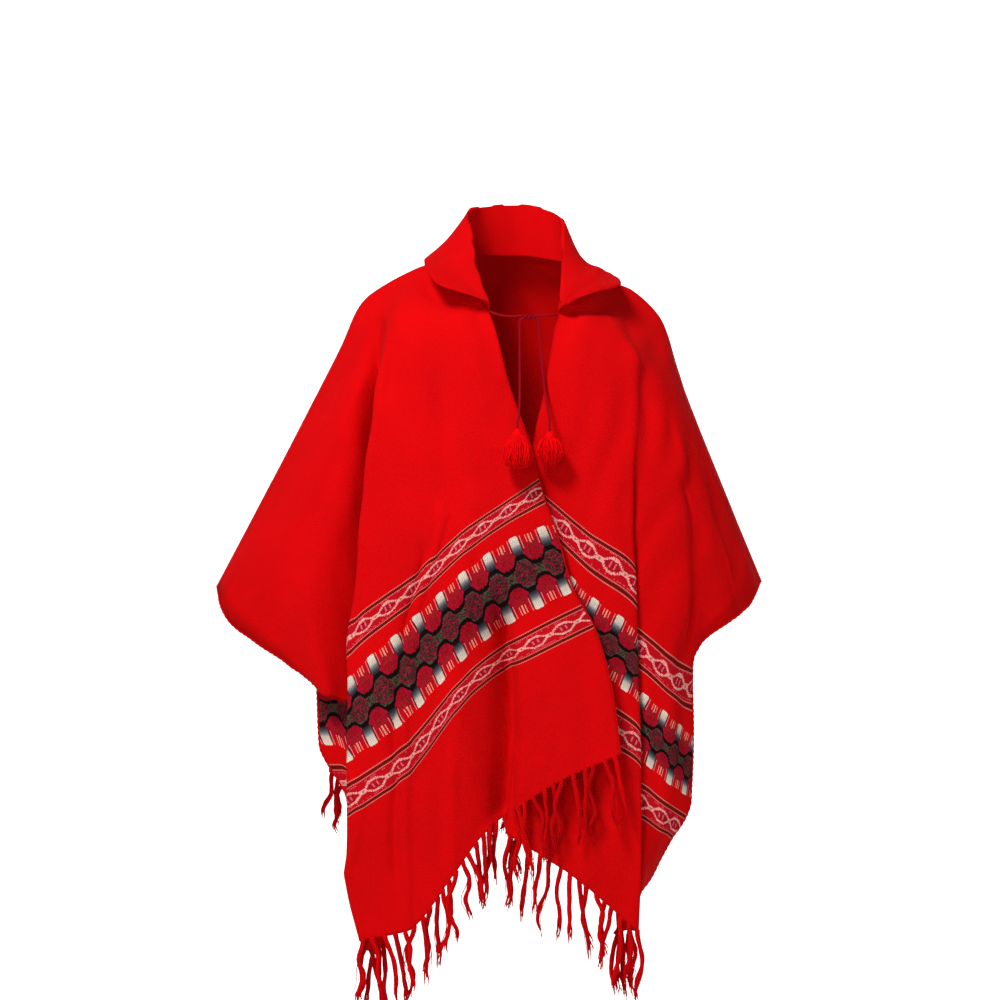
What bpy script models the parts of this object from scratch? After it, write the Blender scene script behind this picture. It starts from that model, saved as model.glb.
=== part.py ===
"""Andean poncho: one woven length slit up the front, with a turned collar, fringed hems and a tasselled tie.

It hangs as it is worn, on shoulders with the arms a little out. X runs to the wearer's left, -Y to the
front and +Z up, in metres. The origin is at the base of the neck. The tables are in millimetres: each row is
one thread line of the cloth, named by its distance from the shoulder line, and each column is one line that
runs down the cloth.
"""
import math

import bmesh
import bpy
import numpy as np

MM = 0.001
WALL = 0.002              # thickness of the woven wool
SEAM_GAP = 0.0003         # pieces that are sewn together stay this far apart
FRINGE_GAP = 0.0008       # the same below a hem, whose corners are sharp
FRINGE_ROOT = 0.005       # height of the strip that holds the roots of the strands
STRAND_WIDTH = 0.0045
CORD_DIAMETER = 0.003
TASSEL_LENGTH = 0.046
TASSEL_RADIUS = 0.0145
CLOTH_RED = (0.62, 0.0, 0.004, 1.0)
FRINGE_RED = (0.55, 0.0, 0.006, 1.0)
CORD_RED = (0.38, 0.0, 0.018, 1.0)

# Wearer's right front, which lies on top.
RIGHT_FRONT_COLUMNS = ("edge", "chest", "step", "fold", "ridge", "tuck", "arm", "sleeve", "selvedge")
RIGHT_FRONT = (
    (0, (-66, 0, 40), (-75, 0, 38), (-84, 0, 35), (-92, 0, 31), (-102, 0, 28),
     (-175, 0, -14), (-207, 0, -79), (-299, 0, -257), (-359, 0, -371)),
    (45, (-47, -62, 0), (-61, -66, -4), (-75, -67, -8), (-92, -66, -13), (-123, -62, -21),
     (-166, -50, -46), (-199, -40, -102), (-286, -40, -276), (-353, -28, -387)),
    (95, (-21, -98, -33), (-42, -105, -47), (-66, -108, -61), (-97, -108, -76), (-145, -100, -95),
     (-172, -72, -122), (-197, -62, -156), (-270, -64, -302), (-339, -46, -412)),
    (190, (5, -120, -128), (-28, -132, -152), (-60, -135, -172), (-102, -136, -198), (-162, -126, -210),
     (-176, -88, -241), (-197, -84, -250), (-248, -84, -338), (-302, -66, -438)),
    (262, (32, -133, -203), (-6, -146, -231), (-45, -149, -255), (-101, -150, -298), (-173, -138, -349),
     (-168, -98, -381), (-195, -95, -347), (-230, -95, -398), (-270, -78, -458)),
    (331, (48, -141, -266), (4, -152, -290), (-42, -156, -322), (-117, -156, -391), (-184, -143, -452),
     (-149, -102, -492), (-189, -106, -508), (-207, -106, -501), (-234, -92, -483)),
    (349, (57, -142, -289), (12, -153, -305), (-37, -157, -337), (-119, -157, -411), (-184, -144, -477),
     (-144, -104, -510), (-193, -86, -498), (-210, -85, -491), (-229, -80, -489)),
    (437, (82, -146, -372), (27, -155, -399), (-37, -159, -441), (-121, -159, -529), (-185, -146, -577),
     (-141, -106, -589), (-191, -90, -569), (-208, -86, -561), (-225, -80, -561)),
    (486, (106, -149, -415), (48, -157, -443), (-37, -161, -493), (-118, -160, -593), (-188, -148, -642),
     (-144, -110, -646), (-173, -96, -634), (-183, -91, -627), (-191, -86, -627)),
    (560, (127, -154, -489), (61, -158, -526), (-34, -161, -574), (-119, -160, -669), (-188, -149, -706),
     (-146, -118, -715), (-168, -104, -708), (-176, -99, -703), (-183, -94, -699)),
    (646, (137, -160, -565), (65, -160, -602), (-27, -160, -664), (-116, -160, -774), (-173, -151, -788),
     (-143, -130, -797), (-156, -120, -804), (-162, -115, -806), (-168, -110, -806)),
)
RIGHT_FRONT_ACROSS = (3, 3, 3, 3, 3, 2, 3, 3)
FRONT_DOWN = (2, 2, 3, 2, 2, 2, 3, 2, 2, 3)
NECK_ROWS = 2             # rows of a front that the collar is sewn to, below the shoulder line

# Wearer's left front, which passes under the right one.
LEFT_FRONT_COLUMNS = ("edge", "chest", "ridge", "tuck", "strip", "fold", "arm", "selvedge")
LEFT_FRONT = (
    (0, (94, 0, 30), (109, 0, 22), (126, 0, 14), (140, 0, 6), (154, 0, 0),
     (192, 0, -35), (221, 0, -124), (319, 0, -364)),
    (45, (81, -62, -3), (104, -66, -14), (132, -62, -35), (146, -54, -44), (159, -50, -51),
     (193, -38, -74), (229, -40, -160), (312, -28, -374)),
    (95, (65, -98, -37), (100, -106, -59), (157, -104, -96), (163, -88, -107), (172, -82, -114),
     (199, -68, -134), (234, -64, -206), (299, -46, -393)),
    (190, (49, -116, -128), (100, -128, -166), (152, -126, -202), (149, -100, -224), (164, -92, -229),
     (207, -98, -243), (240, -84, -282), (276, -64, -410)),
    (262, (34, -122, -202), (97, -134, -260), (152, -132, -298), (133, -100, -338), (160, -88, -362),
     (216, -100, -357), (233, -90, -374), (237, -76, -440)),
    (300, (32, -125, -243), (97, -136, -298), (154, -135, -343), (122, -102, -386), (162, -90, -418),
     (198, -98, -447), (215, -94, -459), (228, -84, -468)),
    (349, (29, -128, -298), (99, -138, -373), (157, -137, -423), (120, -104, -466), (165, -92, -493),
     (198, -98, -522), (215, -95, -537), (227, -87, -548)),
    (437, (23, -130, -394), (102, -140, -463), (159, -139, -512), (122, -108, -557), (167, -96, -580),
     (197, -100, -606), (213, -97, -618), (225, -90, -627)),
    (486, (19, -132, -459), (102, -141, -541), (161, -141, -585), (127, -112, -624), (167, -99, -648),
     (185, -102, -661), (194, -100, -667), (201, -94, -673)),
    (560, (12, -134, -555), (96, -142, -633), (161, -142, -671), (131, -118, -710), (163, -104, -717),
     (168, -106, -719), (171, -104, -720), (173, -100, -721)),
    (646, (1, -136, -662), (82, -144, -713), (158, -137, -779), (134, -115, -777), (149, -108, -781),
     (146, -104, -783), (141, -102, -785), (132, -100, -788)),
)
LEFT_FRONT_ACROSS = (4, 5, 4, 3, 3, 3, 3)

# The back, from the wearer's right selvedge to the left one.
BACK_COLUMNS = ("selvedge_right", "sleeve_right", "arm_right", "shoulder_right", "neck_right", "nape_right",
                "middle", "nape_left", "neck_left", "shoulder_left", "arm_left", "sleeve_left",
                "selvedge_left")
BACK = (
    (0, (-359, 0, -371), (-299, 0, -257), (-207, 0, -79), (-175, 0, -14), (-66, 0, 40), (-38, 42, 46),
     (15, 60, 48), (66, 42, 40), (94, 0, 30), (154, 0, 0), (192, 0, -35), (221, 0, -124), (319, 0, -364)),
    (70, (-346, 34, -390), (-286, 42, -276), (-204, 44, -110), (-164, 58, -50), (-84, 80, -6), (-40, 92, 4),
     (14, 98, 6), (68, 92, 0), (108, 80, -12), (156, 60, -40), (192, 46, -82), (226, 42, -160),
     (310, 32, -376)),
    (150, (-322, 58, -410), (-256, 74, -284), (-192, 82, -150), (-146, 104, -112), (-88, 116, -86),
     (-40, 120, -76), (14, 122, -74), (68, 120, -80), (110, 114, -92), (156, 98, -122), (188, 80, -152),
     (232, 72, -240), (294, 56, -396)),
    (262, (-274, 84, -440), (-236, 98, -366), (-190, 112, -280), (-146, 128, -244), (-90, 126, -220),
     (-40, 130, -212), (14, 136, -208), (68, 130, -214), (112, 124, -224), (157, 124, -250),
     (187, 108, -278), (222, 94, -330), (262, 78, -428)),
    (380, (-226, 104, -490), (-212, 118, -452), (-186, 134, -400), (-146, 146, -368), (-92, 130, -350),
     (-40, 134, -342), (14, 146, -338), (68, 134, -344), (114, 128, -354), (158, 144, -372),
     (186, 130, -396), (206, 114, -430), (226, 98, -472)),
    (500, (-204, 110, -548), (-198, 126, -530), (-182, 146, -510), (-148, 158, -496), (-94, 132, -486),
     (-40, 138, -480), (14, 156, -476), (68, 138, -480), (116, 130, -488), (160, 156, -500),
     (184, 140, -512), (196, 120, -524), (206, 102, -540)),
    (646, (-208, 112, -618), (-200, 130, -628), (-182, 152, -640), (-148, 168, -650), (-94, 134, -648),
     (-40, 142, -644), (14, 166, -640), (68, 142, -644), (116, 134, -646), (160, 164, -644),
     (182, 146, -632), (192, 124, -618), (198, 104, -606)),
)
BACK_ACROSS = (3, 4, 2, 2, 2, 2, 2, 2, 2, 2, 4, 3)
BACK_DOWN = (3, 3, 3, 3, 3, 3)

# Soft troughs pressed into the right front: distance at the start and the end, column at the start and
# the end, half width in columns, depth.
RIGHT_FRONT_TROUGHS = (
    (400, 700, 1.62, 1.72, 0.30, 15),
)

# Collar stations from the wearer's right front end round the nape to the left one: the roll line, the free
# edge of the fall, and how far the fall dips between the two. The seam follows the neckline of the cloth.
COLLAR = (
    # place on the neckline, roll, free edge, dip
    (0.00, (-21, -106, -25), (-29, -112, -22), 0),
    (0.07, (-29, -88, -2), (-50, -98, -3), 2),
    (0.14, (-37, -60, 28), (-82, -84, 5), 3),
    (0.21, (-41, -28, 61), (-99, -50, 22), 3),
    (0.28, (-47, 4, 95), (-99, -8, 36), 2),
    (0.39, (-32, 42, 108), (-74, 62, 36), 4),
    (0.51, (15, 60, 113), (15, 98, 32), 4),
    (0.63, (60, 42, 102), (101, 63, 24), 5),
    (0.735, (73, 4, 82), (134, -8, 17), 8),
    (0.80, (71, -28, 42), (142, -58, 4), 7),
    (0.87, (70, -62, 6), (112, -92, -8), 5),
    (0.94, (69, -90, -18), (86, -104, -18), 2),
    (1.00, (68, -106, -29), (75, -113, -27), 0),
)
COLLAR_ACROSS = (0.0, 0.22, 0.45, 0.72, 1.0)   # seam, middle of the stand, roll, middle of the fall, edge
COLLAR_DIVIDED = (2, 2, 3, 2)
COLLAR_CENTRE = (15, 0, 0)
COLLAR_SEAM_GAP = 1.2
COLLAR_ALONG = 30

# Each fringe: strands shared out along the hem, steps that a strand is drawn out in, its length and the
# seed of its sway.
RIGHT_FRINGE = (34, 3, 92, 3)
LEFT_FRINGE = (32, 3, 92, 5)
BACK_FRINGE = (40, 2, 76, 7)

# The tie. The knot is one and a half turns of the two cords round each other.
KNOT_START = (18, -113, -42)
KNOT_END = (38, -113, -42)
KNOT_TURNS = 1.5
KNOT_RADIUS = 1.75
KNOT_POINTS = 13
CORD_STEP = 3.0 * CORD_DIAMETER
CORD_START = (2.2, -1, -1)           # from the neck edge of the right front; x turns round on the left
TASSEL_DROP = 0.8                    # from the end of the cord to the top of its tassel

# The head of a tassel, from the top down: radius and height of each ring.
TASSEL_HEAD = ((1.6, 0.0), (5.0, -2.5), (7.5, -8.0), (8.0, -13.0), (4.2, -13.6))
TASSEL_SIDES = 16
TASSEL_SPREAD = (0.70, 0.25, 0.05)   # share of the outward spread that each step of a lock takes
LOCK_GROWTH = 1.12
STRAND_SHRINK = 0.86
RIGHT_CORD_LEAD = ((-12, -105, -37), (-2, -110, -40), (9, -113, -41))
RIGHT_CORD_HANG = ((42, -113, -47), (43, -114, -60), (45, -118, -90), (47, -126, -123), (50, -136, -150),
                   (54, -149, -173), (54, -150, -179))
LEFT_CORD_LEAD = ((58, -106, -39), (50, -111, -40))
LEFT_CORD_HANG = ((14, -113, -47), (15, -114, -60), (17, -120, -95), (18, -134, -130), (18, -155, -160),
                  (17, -164, -168), (17, -165, -174))


def smooth(knots, values, at):
    """Cubic curve through the values that doesn't swing past them: slopes are harmonic means."""
    knots = np.asarray(knots, float)
    values = np.asarray(values, float)
    at = np.atleast_1d(np.asarray(at, float))
    column = (-1,) + (1,) * (values.ndim - 1)
    step = np.diff(knots).reshape(column)
    rise = np.diff(values, axis=0) / step
    product = rise[:-1] * rise[1:]
    total = np.where(product > 0, rise[:-1] + rise[1:], 1.0)
    slope = np.concatenate([rise[:1], np.where(product > 0, 2 * product / total, 0.0), rise[-1:]])
    i = np.clip(np.searchsorted(knots, at, side="right") - 1, 0, len(knots) - 2)
    h = step[i]
    t = (at - knots[i]).reshape(column) / h
    return ((2 * t**3 - 3 * t**2 + 1) * values[i] + (t**3 - 2 * t**2 + t) * h * slope[i]
            + (3 * t**2 - 2 * t**3) * values[i + 1] + (t**3 - t**2) * h * slope[i + 1])


def divide(knots, counts):
    """The knots with each interval divided into its count of equal steps."""
    parts = [np.linspace(a, b, n, endpoint=False) for a, b, n in zip(knots[:-1], knots[1:], counts)]
    return np.concatenate(parts + [[knots[-1]]])


def drape(table, across, down, troughs=()):
    """Points of a panel's inner face, as rows of points, from its table and its troughs."""
    distances = [row[0] for row in table]
    cells = np.array([row[1:] for row in table], float) * MM
    columns = np.arange(cells.shape[1])
    rows = smooth(distances, cells, down)
    points = smooth(columns, rows.swapaxes(0, 1), across).swapaxes(0, 1)
    for start, end, column_at_start, column_at_end, half_width, depth in troughs:
        along = np.clip((down - start) / (end - start), 0, 1)
        middle = column_at_start + (column_at_end - column_at_start) * along
        fade = np.sin(np.pi * np.clip(along, 0, 0.5)) ** 2
        bump = np.exp(-((across[None, :] - middle[:, None]) / half_width) ** 2)
        points[:, :, 1] += depth * MM * fade[:, None] * bump
    return points


def unit(vectors):
    """The vectors at length 1."""
    return vectors / np.maximum(np.linalg.norm(vectors, axis=-1, keepdims=True), 1e-12)


def outward(points, flip):
    """Outward unit normals of a grid of points."""
    down = np.gradient(points, axis=0)
    across = np.gradient(points, axis=1)
    normals = unit(np.cross(down, across))
    return -normals if flip else normals


def wool(name, colour):
    """Matte woollen cloth or yarn."""
    material = bpy.data.materials.new(name)
    material.use_nodes = True
    shader = material.node_tree.nodes["Principled BSDF"]
    shader.inputs["Base Color"].default_value = colour
    shader.inputs["Roughness"].default_value = 0.9
    shader.inputs["Metallic"].default_value = 0.0
    return material


def add_object(name, mesh, material, collection):
    """One named object for one sub-part."""
    mesh.materials.append(material)
    thing = bpy.data.objects.new(name, mesh)
    collection.objects.link(thing)
    return thing


def cloth(name, points, flip, material, collection):
    """A sheet over a grid of points, given its wall on the outer side by Solidify."""
    rows, columns = points.shape[:2]
    corner = np.arange(rows * columns).reshape(rows, columns)
    faces = np.stack([corner[:-1, :-1], corner[1:, :-1], corner[1:, 1:], corner[:-1, 1:]], axis=-1)
    if flip:
        faces = faces[..., ::-1]
    mesh = bpy.data.meshes.new(name)
    mesh.from_pydata(points.reshape(-1, 3).tolist(), [], faces.reshape(-1, 4).tolist())
    mesh.shade_smooth()
    thing = add_object(name, mesh, material, collection)
    wall = thing.modifiers.new("wall", "SOLIDIFY")
    wall.thickness = WALL
    wall.offset = 1.0
    return thing


def grow_strand(builder, face, steps, shrink):
    """Draw a face out along the steps, narrowing it at each one."""
    for move in steps:
        grown = bmesh.ops.extrude_discrete_faces(builder, faces=[face])["faces"][0]
        middle = np.mean([vertex.co for vertex in grown.verts], axis=0)
        for vertex in grown.verts:
            vertex.co = middle + (np.array(vertex.co) - middle) * shrink + move
        face = grown


def finish_mesh(builder, name):
    """The built mesh with its faces pointing out."""
    bmesh.ops.recalc_face_normals(builder, faces=builder.faces)
    mesh = bpy.data.meshes.new(name)
    builder.to_mesh(mesh)
    builder.free()
    return mesh


def hem_edges(wall, points):
    """Inner and outer edge of a panel's hem, read from its finished wall."""
    mesh = wall.evaluated_get(bpy.context.evaluated_depsgraph_get()).to_mesh()
    faces = np.array([vertex.co for vertex in mesh.vertices])
    wall.evaluated_get(bpy.context.evaluated_depsgraph_get()).to_mesh_clear()
    count = points.shape[0] * points.shape[1]
    outer = faces[:count].reshape(points.shape)[-1]
    inner = faces[count:2 * count].reshape(points.shape)[-1]
    return inner, outer


def strand_places(lengths, strands):
    """Places along the hem where the strip is cut into cells, and which of the cells carry a strand.

    Strands are shared out between the straight runs of the hem, so none lies across a corner of it.
    """
    pitch = lengths[-1] / strands
    places = [0.0]
    is_strand = []
    for start, end in zip(lengths[:-1], lengths[1:]):
        count = int((end - start) / pitch + 0.5)
        for number in range(count):
            middle = start + (number + 0.5) * (end - start) / count
            places += [middle - STRAND_WIDTH / 2, middle + STRAND_WIDTH / 2]
            is_strand += [False, True]
        places.append(end)
        is_strand.append(False)
    return np.array(places), is_strand


def fringe(name, wall, points, plan, material, collection):
    """A narrow strip along the hem, parted from it, with the strands that are rooted in it."""
    strands, segments, full_length, seed = plan
    inner, outer = hem_edges(wall, points)
    lengths = np.concatenate([[0], np.cumsum(np.linalg.norm(np.diff(inner, axis=0), axis=1))])
    places, is_strand = strand_places(lengths, strands)

    def along(values):
        return np.stack([np.interp(places, lengths, values[:, k]) for k in range(3)], axis=1)

    fall = unit(along(unit(points[-1] - points[-2])))
    near_body, off_body = along(inner), along(outer)
    ring = np.stack([near_body + fall * FRINGE_GAP, off_body + fall * FRINGE_GAP,
                     off_body + fall * FRINGE_ROOT, near_body + fall * FRINGE_ROOT], axis=1)
    builder = bmesh.new()
    rings = [[builder.verts.new(corner) for corner in corners] for corners in ring]
    roots = []
    for cell, (near, far) in enumerate(zip(rings[:-1], rings[1:])):
        for k in range(4):
            face = builder.faces.new((near[k], near[(k + 1) % 4], far[(k + 1) % 4], far[k]))
            if k == 2 and is_strand[cell]:
                roots.append((face, fall[cell]))
    builder.faces.new(rings[0])
    builder.faces.new(rings[-1][::-1])
    chance = np.random.default_rng(seed)
    phase = chance.uniform(0, 2 * math.pi, 3)
    for number, (face, root_fall) in enumerate(roots):
        length = full_length * MM * chance.uniform(0.88, 1.04)
        sway = 0.10 * math.sin(number * 0.55 + phase[0]) + chance.uniform(-0.05, 0.05)
        lean = 0.05 * math.sin(number * 0.8 + phase[1])
        hang = np.array([sway, lean, -1.0])
        turn = np.array([0.12 * math.sin(number * 0.7 + phase[2]), 0.0, -1.0])
        first = unit(root_fall * 0.5 + hang * 0.5)
        moves = [first] + [unit(hang + turn * k) for k in range(segments - 1)]
        grow_strand(builder, face, [move * length / segments for move in moves], STRAND_SHRINK)
    return add_object(name, finish_mesh(builder, name), material, collection)


def neckline(right, back, left):
    """The neck edge of the three panels as one line, with the direction that leads off the cloth."""
    neck_rows = sum(FRONT_DOWN[:NECK_ROWS]) + 1
    first = sum(BACK_ACROSS[:BACK_COLUMNS.index("neck_right")])
    last = sum(BACK_ACROSS[:BACK_COLUMNS.index("neck_left")])
    line = np.concatenate([right[:neck_rows, 0][::-1], back[0, first + 1:last], left[:neck_rows, 0]])
    normals = np.concatenate([outward(right, True)[:neck_rows, 0][::-1],
                              outward(back, True)[0, first + 1:last],
                              outward(left, False)[:neck_rows, 0]])
    off = unit(np.cross(np.gradient(line, axis=0), normals))
    lengths = np.concatenate([[0], np.cumsum(np.linalg.norm(np.diff(line, axis=0), axis=1))])
    return lengths / lengths[-1], line, off


def collar(right, back, left, material, collection):
    """A stand that rises from the neckline and a fall that turns over it, in one cloth."""
    share, line, off = neckline(right, back, left)
    stations = np.linspace(0, 1, COLLAR_ALONG)
    seam_line = line + off * COLLAR_SEAM_GAP * MM
    seam = np.stack([np.interp(stations, share, seam_line[:, k]) for k in range(3)], axis=1)
    places = [row[0] for row in COLLAR]
    roll = smooth(places, np.array([row[1] for row in COLLAR]) * MM, stations)
    edge = smooth(places, np.array([row[2] for row in COLLAR]) * MM, stations)
    dip = smooth(places, np.array([row[3:] for row in COLLAR]) * MM, stations)
    away = unit((roll + edge) / 2 - np.array(COLLAR_CENTRE) * MM)
    hollow = (away + np.array([0, 0, 1.0])) * dip
    profile = np.stack([seam, (seam + roll) / 2, roll, (roll + edge) / 2 - hollow, edge])
    grid = smooth(COLLAR_ACROSS, profile, divide(COLLAR_ACROSS, COLLAR_DIVIDED))
    return cloth("collar", grid, True, material, collection)


def tie_route(start, lead, hang, sign):
    """Points of one cord: from the neck edge to the knot, round the other cord, and down."""
    first, last = np.array(KNOT_START, float), np.array(KNOT_END, float)
    if sign < 0:
        first, last = last, first
    turn = np.linspace(0, 1, KNOT_POINTS)[:, None]
    angle = math.pi / 2 - sign * turn * 2 * math.pi * KNOT_TURNS
    wrap = first + (last - first) * turn
    wrap = wrap + KNOT_RADIUS * np.concatenate([np.zeros_like(angle), np.cos(angle), np.sin(angle)], axis=1)
    route = np.concatenate([[np.array(start) / MM], lead, wrap, hang]) * MM
    lengths = np.concatenate([[0], np.cumsum(np.linalg.norm(np.diff(route, axis=0), axis=1))])
    spaced = np.arange(0, lengths[-1], CORD_STEP)
    wrap_start = 1 + len(lead)
    close = lengths[wrap_start:wrap_start + len(wrap)]
    spaced = spaced[(spaced < close[0] - CORD_DIAMETER) | (spaced > close[-1] + CORD_DIAMETER)]
    places = np.sort(np.concatenate([spaced, close, [lengths[-1]]]))
    return smooth(lengths, route, places)


def cord(name, route, material, collection):
    """A round cord along its route, with closed ends."""
    data = bpy.data.curves.new(name, "CURVE")
    data.dimensions = "3D"
    data.bevel_depth = CORD_DIAMETER / 2
    data.bevel_resolution = 2
    data.use_fill_caps = True
    spline = data.splines.new("POLY")
    spline.points.add(len(route) - 1)
    spline.points.foreach_set("co", np.column_stack([route, np.ones(len(route))]).ravel())
    data.materials.append(material)
    thing = bpy.data.objects.new(name, data)
    collection.objects.link(thing)
    return thing


def tassel(name, top, material, collection):
    """A bound head with a skirt of locks; the locks are rooted in the underside of the head."""
    builder = bmesh.new()
    angles = np.arange(TASSEL_SIDES) * 2 * math.pi / TASSEL_SIDES
    rings = []
    for radius, height in TASSEL_HEAD:
        ring = [builder.verts.new((top[0] + radius * MM * math.cos(a), top[1] + radius * MM * math.sin(a),
                                   top[2] + height * MM)) for a in angles]
        rings.append(ring)
    roots = []
    for level, (upper, lower) in enumerate(zip(rings[:-1], rings[1:])):
        for k in range(TASSEL_SIDES):
            n = (k + 1) % TASSEL_SIDES
            face = builder.faces.new((upper[k], upper[n], lower[n], lower[k]))
            if level == len(rings) - 2 and k % 2 == 0:
                roots.append((face, angles[k] + math.pi / TASSEL_SIDES))
    builder.faces.new(rings[0])
    builder.faces.new(rings[-1])
    (side_radius, _), (under_radius, under_height) = TASSEL_HEAD[-2:]
    length = TASSEL_LENGTH + under_height * MM
    spread = TASSEL_RADIUS - (side_radius + under_radius) / 2 * MM
    down = np.array([0, 0, -length / len(TASSEL_SPREAD)])
    for face, angle in roots:
        out = np.array([math.cos(angle), math.sin(angle), 0.0])
        grow_strand(builder, face, [down + out * spread * share for share in TASSEL_SPREAD], LOCK_GROWTH)
    return add_object(name, finish_mesh(builder, name), material, collection)


def main():
    for thing in list(bpy.data.objects):
        bpy.data.objects.remove(thing)
    collection = bpy.data.collections.new("andean_poncho")
    bpy.context.scene.collection.children.link(collection)

    woven = wool("red_wool_cloth", CLOTH_RED)
    yarn = wool("red_wool_yarn", FRINGE_RED)
    twist = wool("crimson_cord", CORD_RED)

    front_down = divide([row[0] for row in RIGHT_FRONT], FRONT_DOWN)
    right_across = divide(range(len(RIGHT_FRONT_COLUMNS)), RIGHT_FRONT_ACROSS)
    right = drape(RIGHT_FRONT, right_across, front_down, RIGHT_FRONT_TROUGHS)
    left_down = divide([row[0] for row in LEFT_FRONT], FRONT_DOWN)
    left_across = divide(range(len(LEFT_FRONT_COLUMNS)), LEFT_FRONT_ACROSS)
    left = drape(LEFT_FRONT, left_across, left_down)
    back_down = divide([row[0] for row in BACK], BACK_DOWN)
    back_across = divide(range(len(BACK_COLUMNS)), BACK_ACROSS)
    back = drape(BACK, back_across, back_down)
    for front in (right, left):
        front[0, :, 1] = -SEAM_GAP / 2
    back[0, :, 1] = np.maximum(back[0, :, 1], SEAM_GAP / 2)

    right_wall = cloth("right_front", right, True, woven, collection)
    left_wall = cloth("left_front", left, False, woven, collection)
    back_wall = cloth("back", back, True, woven, collection)
    collar(right, back, left, woven, collection)
    fringe("fringe_right_front", right_wall, right, RIGHT_FRINGE, yarn, collection)
    fringe("fringe_left_front", left_wall, left, LEFT_FRINGE, yarn, collection)
    fringe("fringe_back", back_wall, back, BACK_FRINGE, yarn, collection)

    neck_row = sum(FRONT_DOWN[:NECK_ROWS])
    off_right = np.array(CORD_START) * MM
    off_left = off_right * np.array([-1, 1, 1])
    right_start = right[neck_row, 0] + off_right
    left_start = left[neck_row, 0] + off_left
    right_route = tie_route(right_start, RIGHT_CORD_LEAD, RIGHT_CORD_HANG, 1)
    left_route = tie_route(left_start, LEFT_CORD_LEAD, LEFT_CORD_HANG, -1)
    cord("tie_cord_right", right_route, twist, collection)
    cord("tie_cord_left", left_route, twist, collection)
    drop = np.array([0.0, 0.0, -TASSEL_DROP * MM])
    tassel("tassel_of_right_cord", right_route[-1] + drop, yarn, collection)
    tassel("tassel_of_left_cord", left_route[-1] + drop, yarn, collection)


main()
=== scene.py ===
# %% [markdown]
# # A woven Andean poncho, dressed for a portrait
# The poncho is one long wool cloth, slit up the front, that hangs from a wearer's shoulders. A plain
# solid model already says where every panel hangs. These cells lay fine cloth, yarn and cord on it.
# Everything is in metres, +Z is up, -Y is the wearer's front and +X the wearer's left.

# %% Start from the frame
from functools import partial

import bpy
import numpy as np
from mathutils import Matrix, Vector


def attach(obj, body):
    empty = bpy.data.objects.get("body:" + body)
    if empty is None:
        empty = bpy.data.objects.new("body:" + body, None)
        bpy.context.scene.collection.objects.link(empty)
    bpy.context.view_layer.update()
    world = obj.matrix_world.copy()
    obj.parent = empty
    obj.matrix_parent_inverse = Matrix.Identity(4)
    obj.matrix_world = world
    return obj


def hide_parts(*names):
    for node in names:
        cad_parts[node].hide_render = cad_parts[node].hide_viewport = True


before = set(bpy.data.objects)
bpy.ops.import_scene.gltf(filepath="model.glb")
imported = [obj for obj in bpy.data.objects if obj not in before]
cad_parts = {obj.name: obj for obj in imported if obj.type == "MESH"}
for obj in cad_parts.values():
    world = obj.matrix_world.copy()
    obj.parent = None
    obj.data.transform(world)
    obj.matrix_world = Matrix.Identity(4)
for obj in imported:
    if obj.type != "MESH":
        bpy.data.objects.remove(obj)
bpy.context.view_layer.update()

MM = 0.001

# %% [markdown]
# ## The camera
# A garment is best seen level and from a few metres away, so that its hem isn't foreshortened. A long lens
# at chest height does this. Aiming it exactly along +Y keeps the verticals upright, and no shift or blur
# is needed.

# %% Camera
SENSOR = 36.0               # mm
FOCAL_LENGTH = 92.16        # mm
CAMERA_PLACE = (-0.00625, -3.2, -0.2625)


def in_scene(name, data):
    """A new object for a lens, a mesh or a lamp, linked to the scene."""
    thing = bpy.data.objects.new(name, data)
    bpy.context.scene.collection.objects.link(thing)
    return thing


lens = bpy.data.cameras.new("portrait_lens")
lens.sensor_width = SENSOR
lens.lens = FOCAL_LENGTH
camera = in_scene("portrait_camera", lens)
camera.location = CAMERA_PLACE
camera.rotation_euler = (np.pi / 2, 0, 0)
bpy.context.scene.camera = camera
print("frame at the cloth is", round(-CAMERA_PLACE[1] * SENSOR / FOCAL_LENGTH, 3), "m wide")

# %% [markdown]
# ## Curves through listed points
# A drape is easiest to direct with a table: each row is one thread line across the cloth, each column one
# line that runs down it. A cubic through the numbers gives the cloth between them. Ordinary cubics swing
# past their points and would make bumps, so the slope at each point is the harmonic mean of its two
# neighbouring slopes, and 0 at a crest. That is cheap, smooth, and never overshoots.

# %% Smooth curve
def smooth(knots, values, at):
    """Cubic Hermite curve: slope at a knot = 2 * a * b / (a + b) of the slopes beside it, or 0 at a crest."""
    knots = np.asarray(knots, float)
    values = np.asarray(values, float)
    at = np.atleast_1d(np.asarray(at, float))
    column = (-1,) + (1,) * (values.ndim - 1)
    step = np.diff(knots).reshape(column)
    rise = np.diff(values, axis=0) / step
    product = rise[:-1] * rise[1:]
    total = np.where(product > 0, rise[:-1] + rise[1:], 1.0)
    slope = np.concatenate([rise[:1], np.where(product > 0, 2 * product / total, 0.0), rise[-1:]])
    i = np.clip(np.searchsorted(knots, at, side="right") - 1, 0, len(knots) - 2)
    h = step[i]
    t = (at - knots[i]).reshape(column) / h
    return ((2 * t**3 - 3 * t**2 + 1) * values[i] + (t**3 - 2 * t**2 + t) * h * slope[i]
            + (3 * t**2 - 2 * t**3) * values[i + 1] + (t**3 - t**2) * h * slope[i + 1])


print("through 0, 1 and 3 it passes", smooth((0, 1, 2), (0, 1, 3), (0.5, 1.5)).round(3))

# %% Lengths and directions
BACKWARD = np.array((0.0, 1.0, 0.0))        # no yarn or cord runs this way


def unit(vectors):
    """Each vector divided by its length."""
    return vectors / np.maximum(np.linalg.norm(vectors, axis=-1, keepdims=True), 1e-12)


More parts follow.
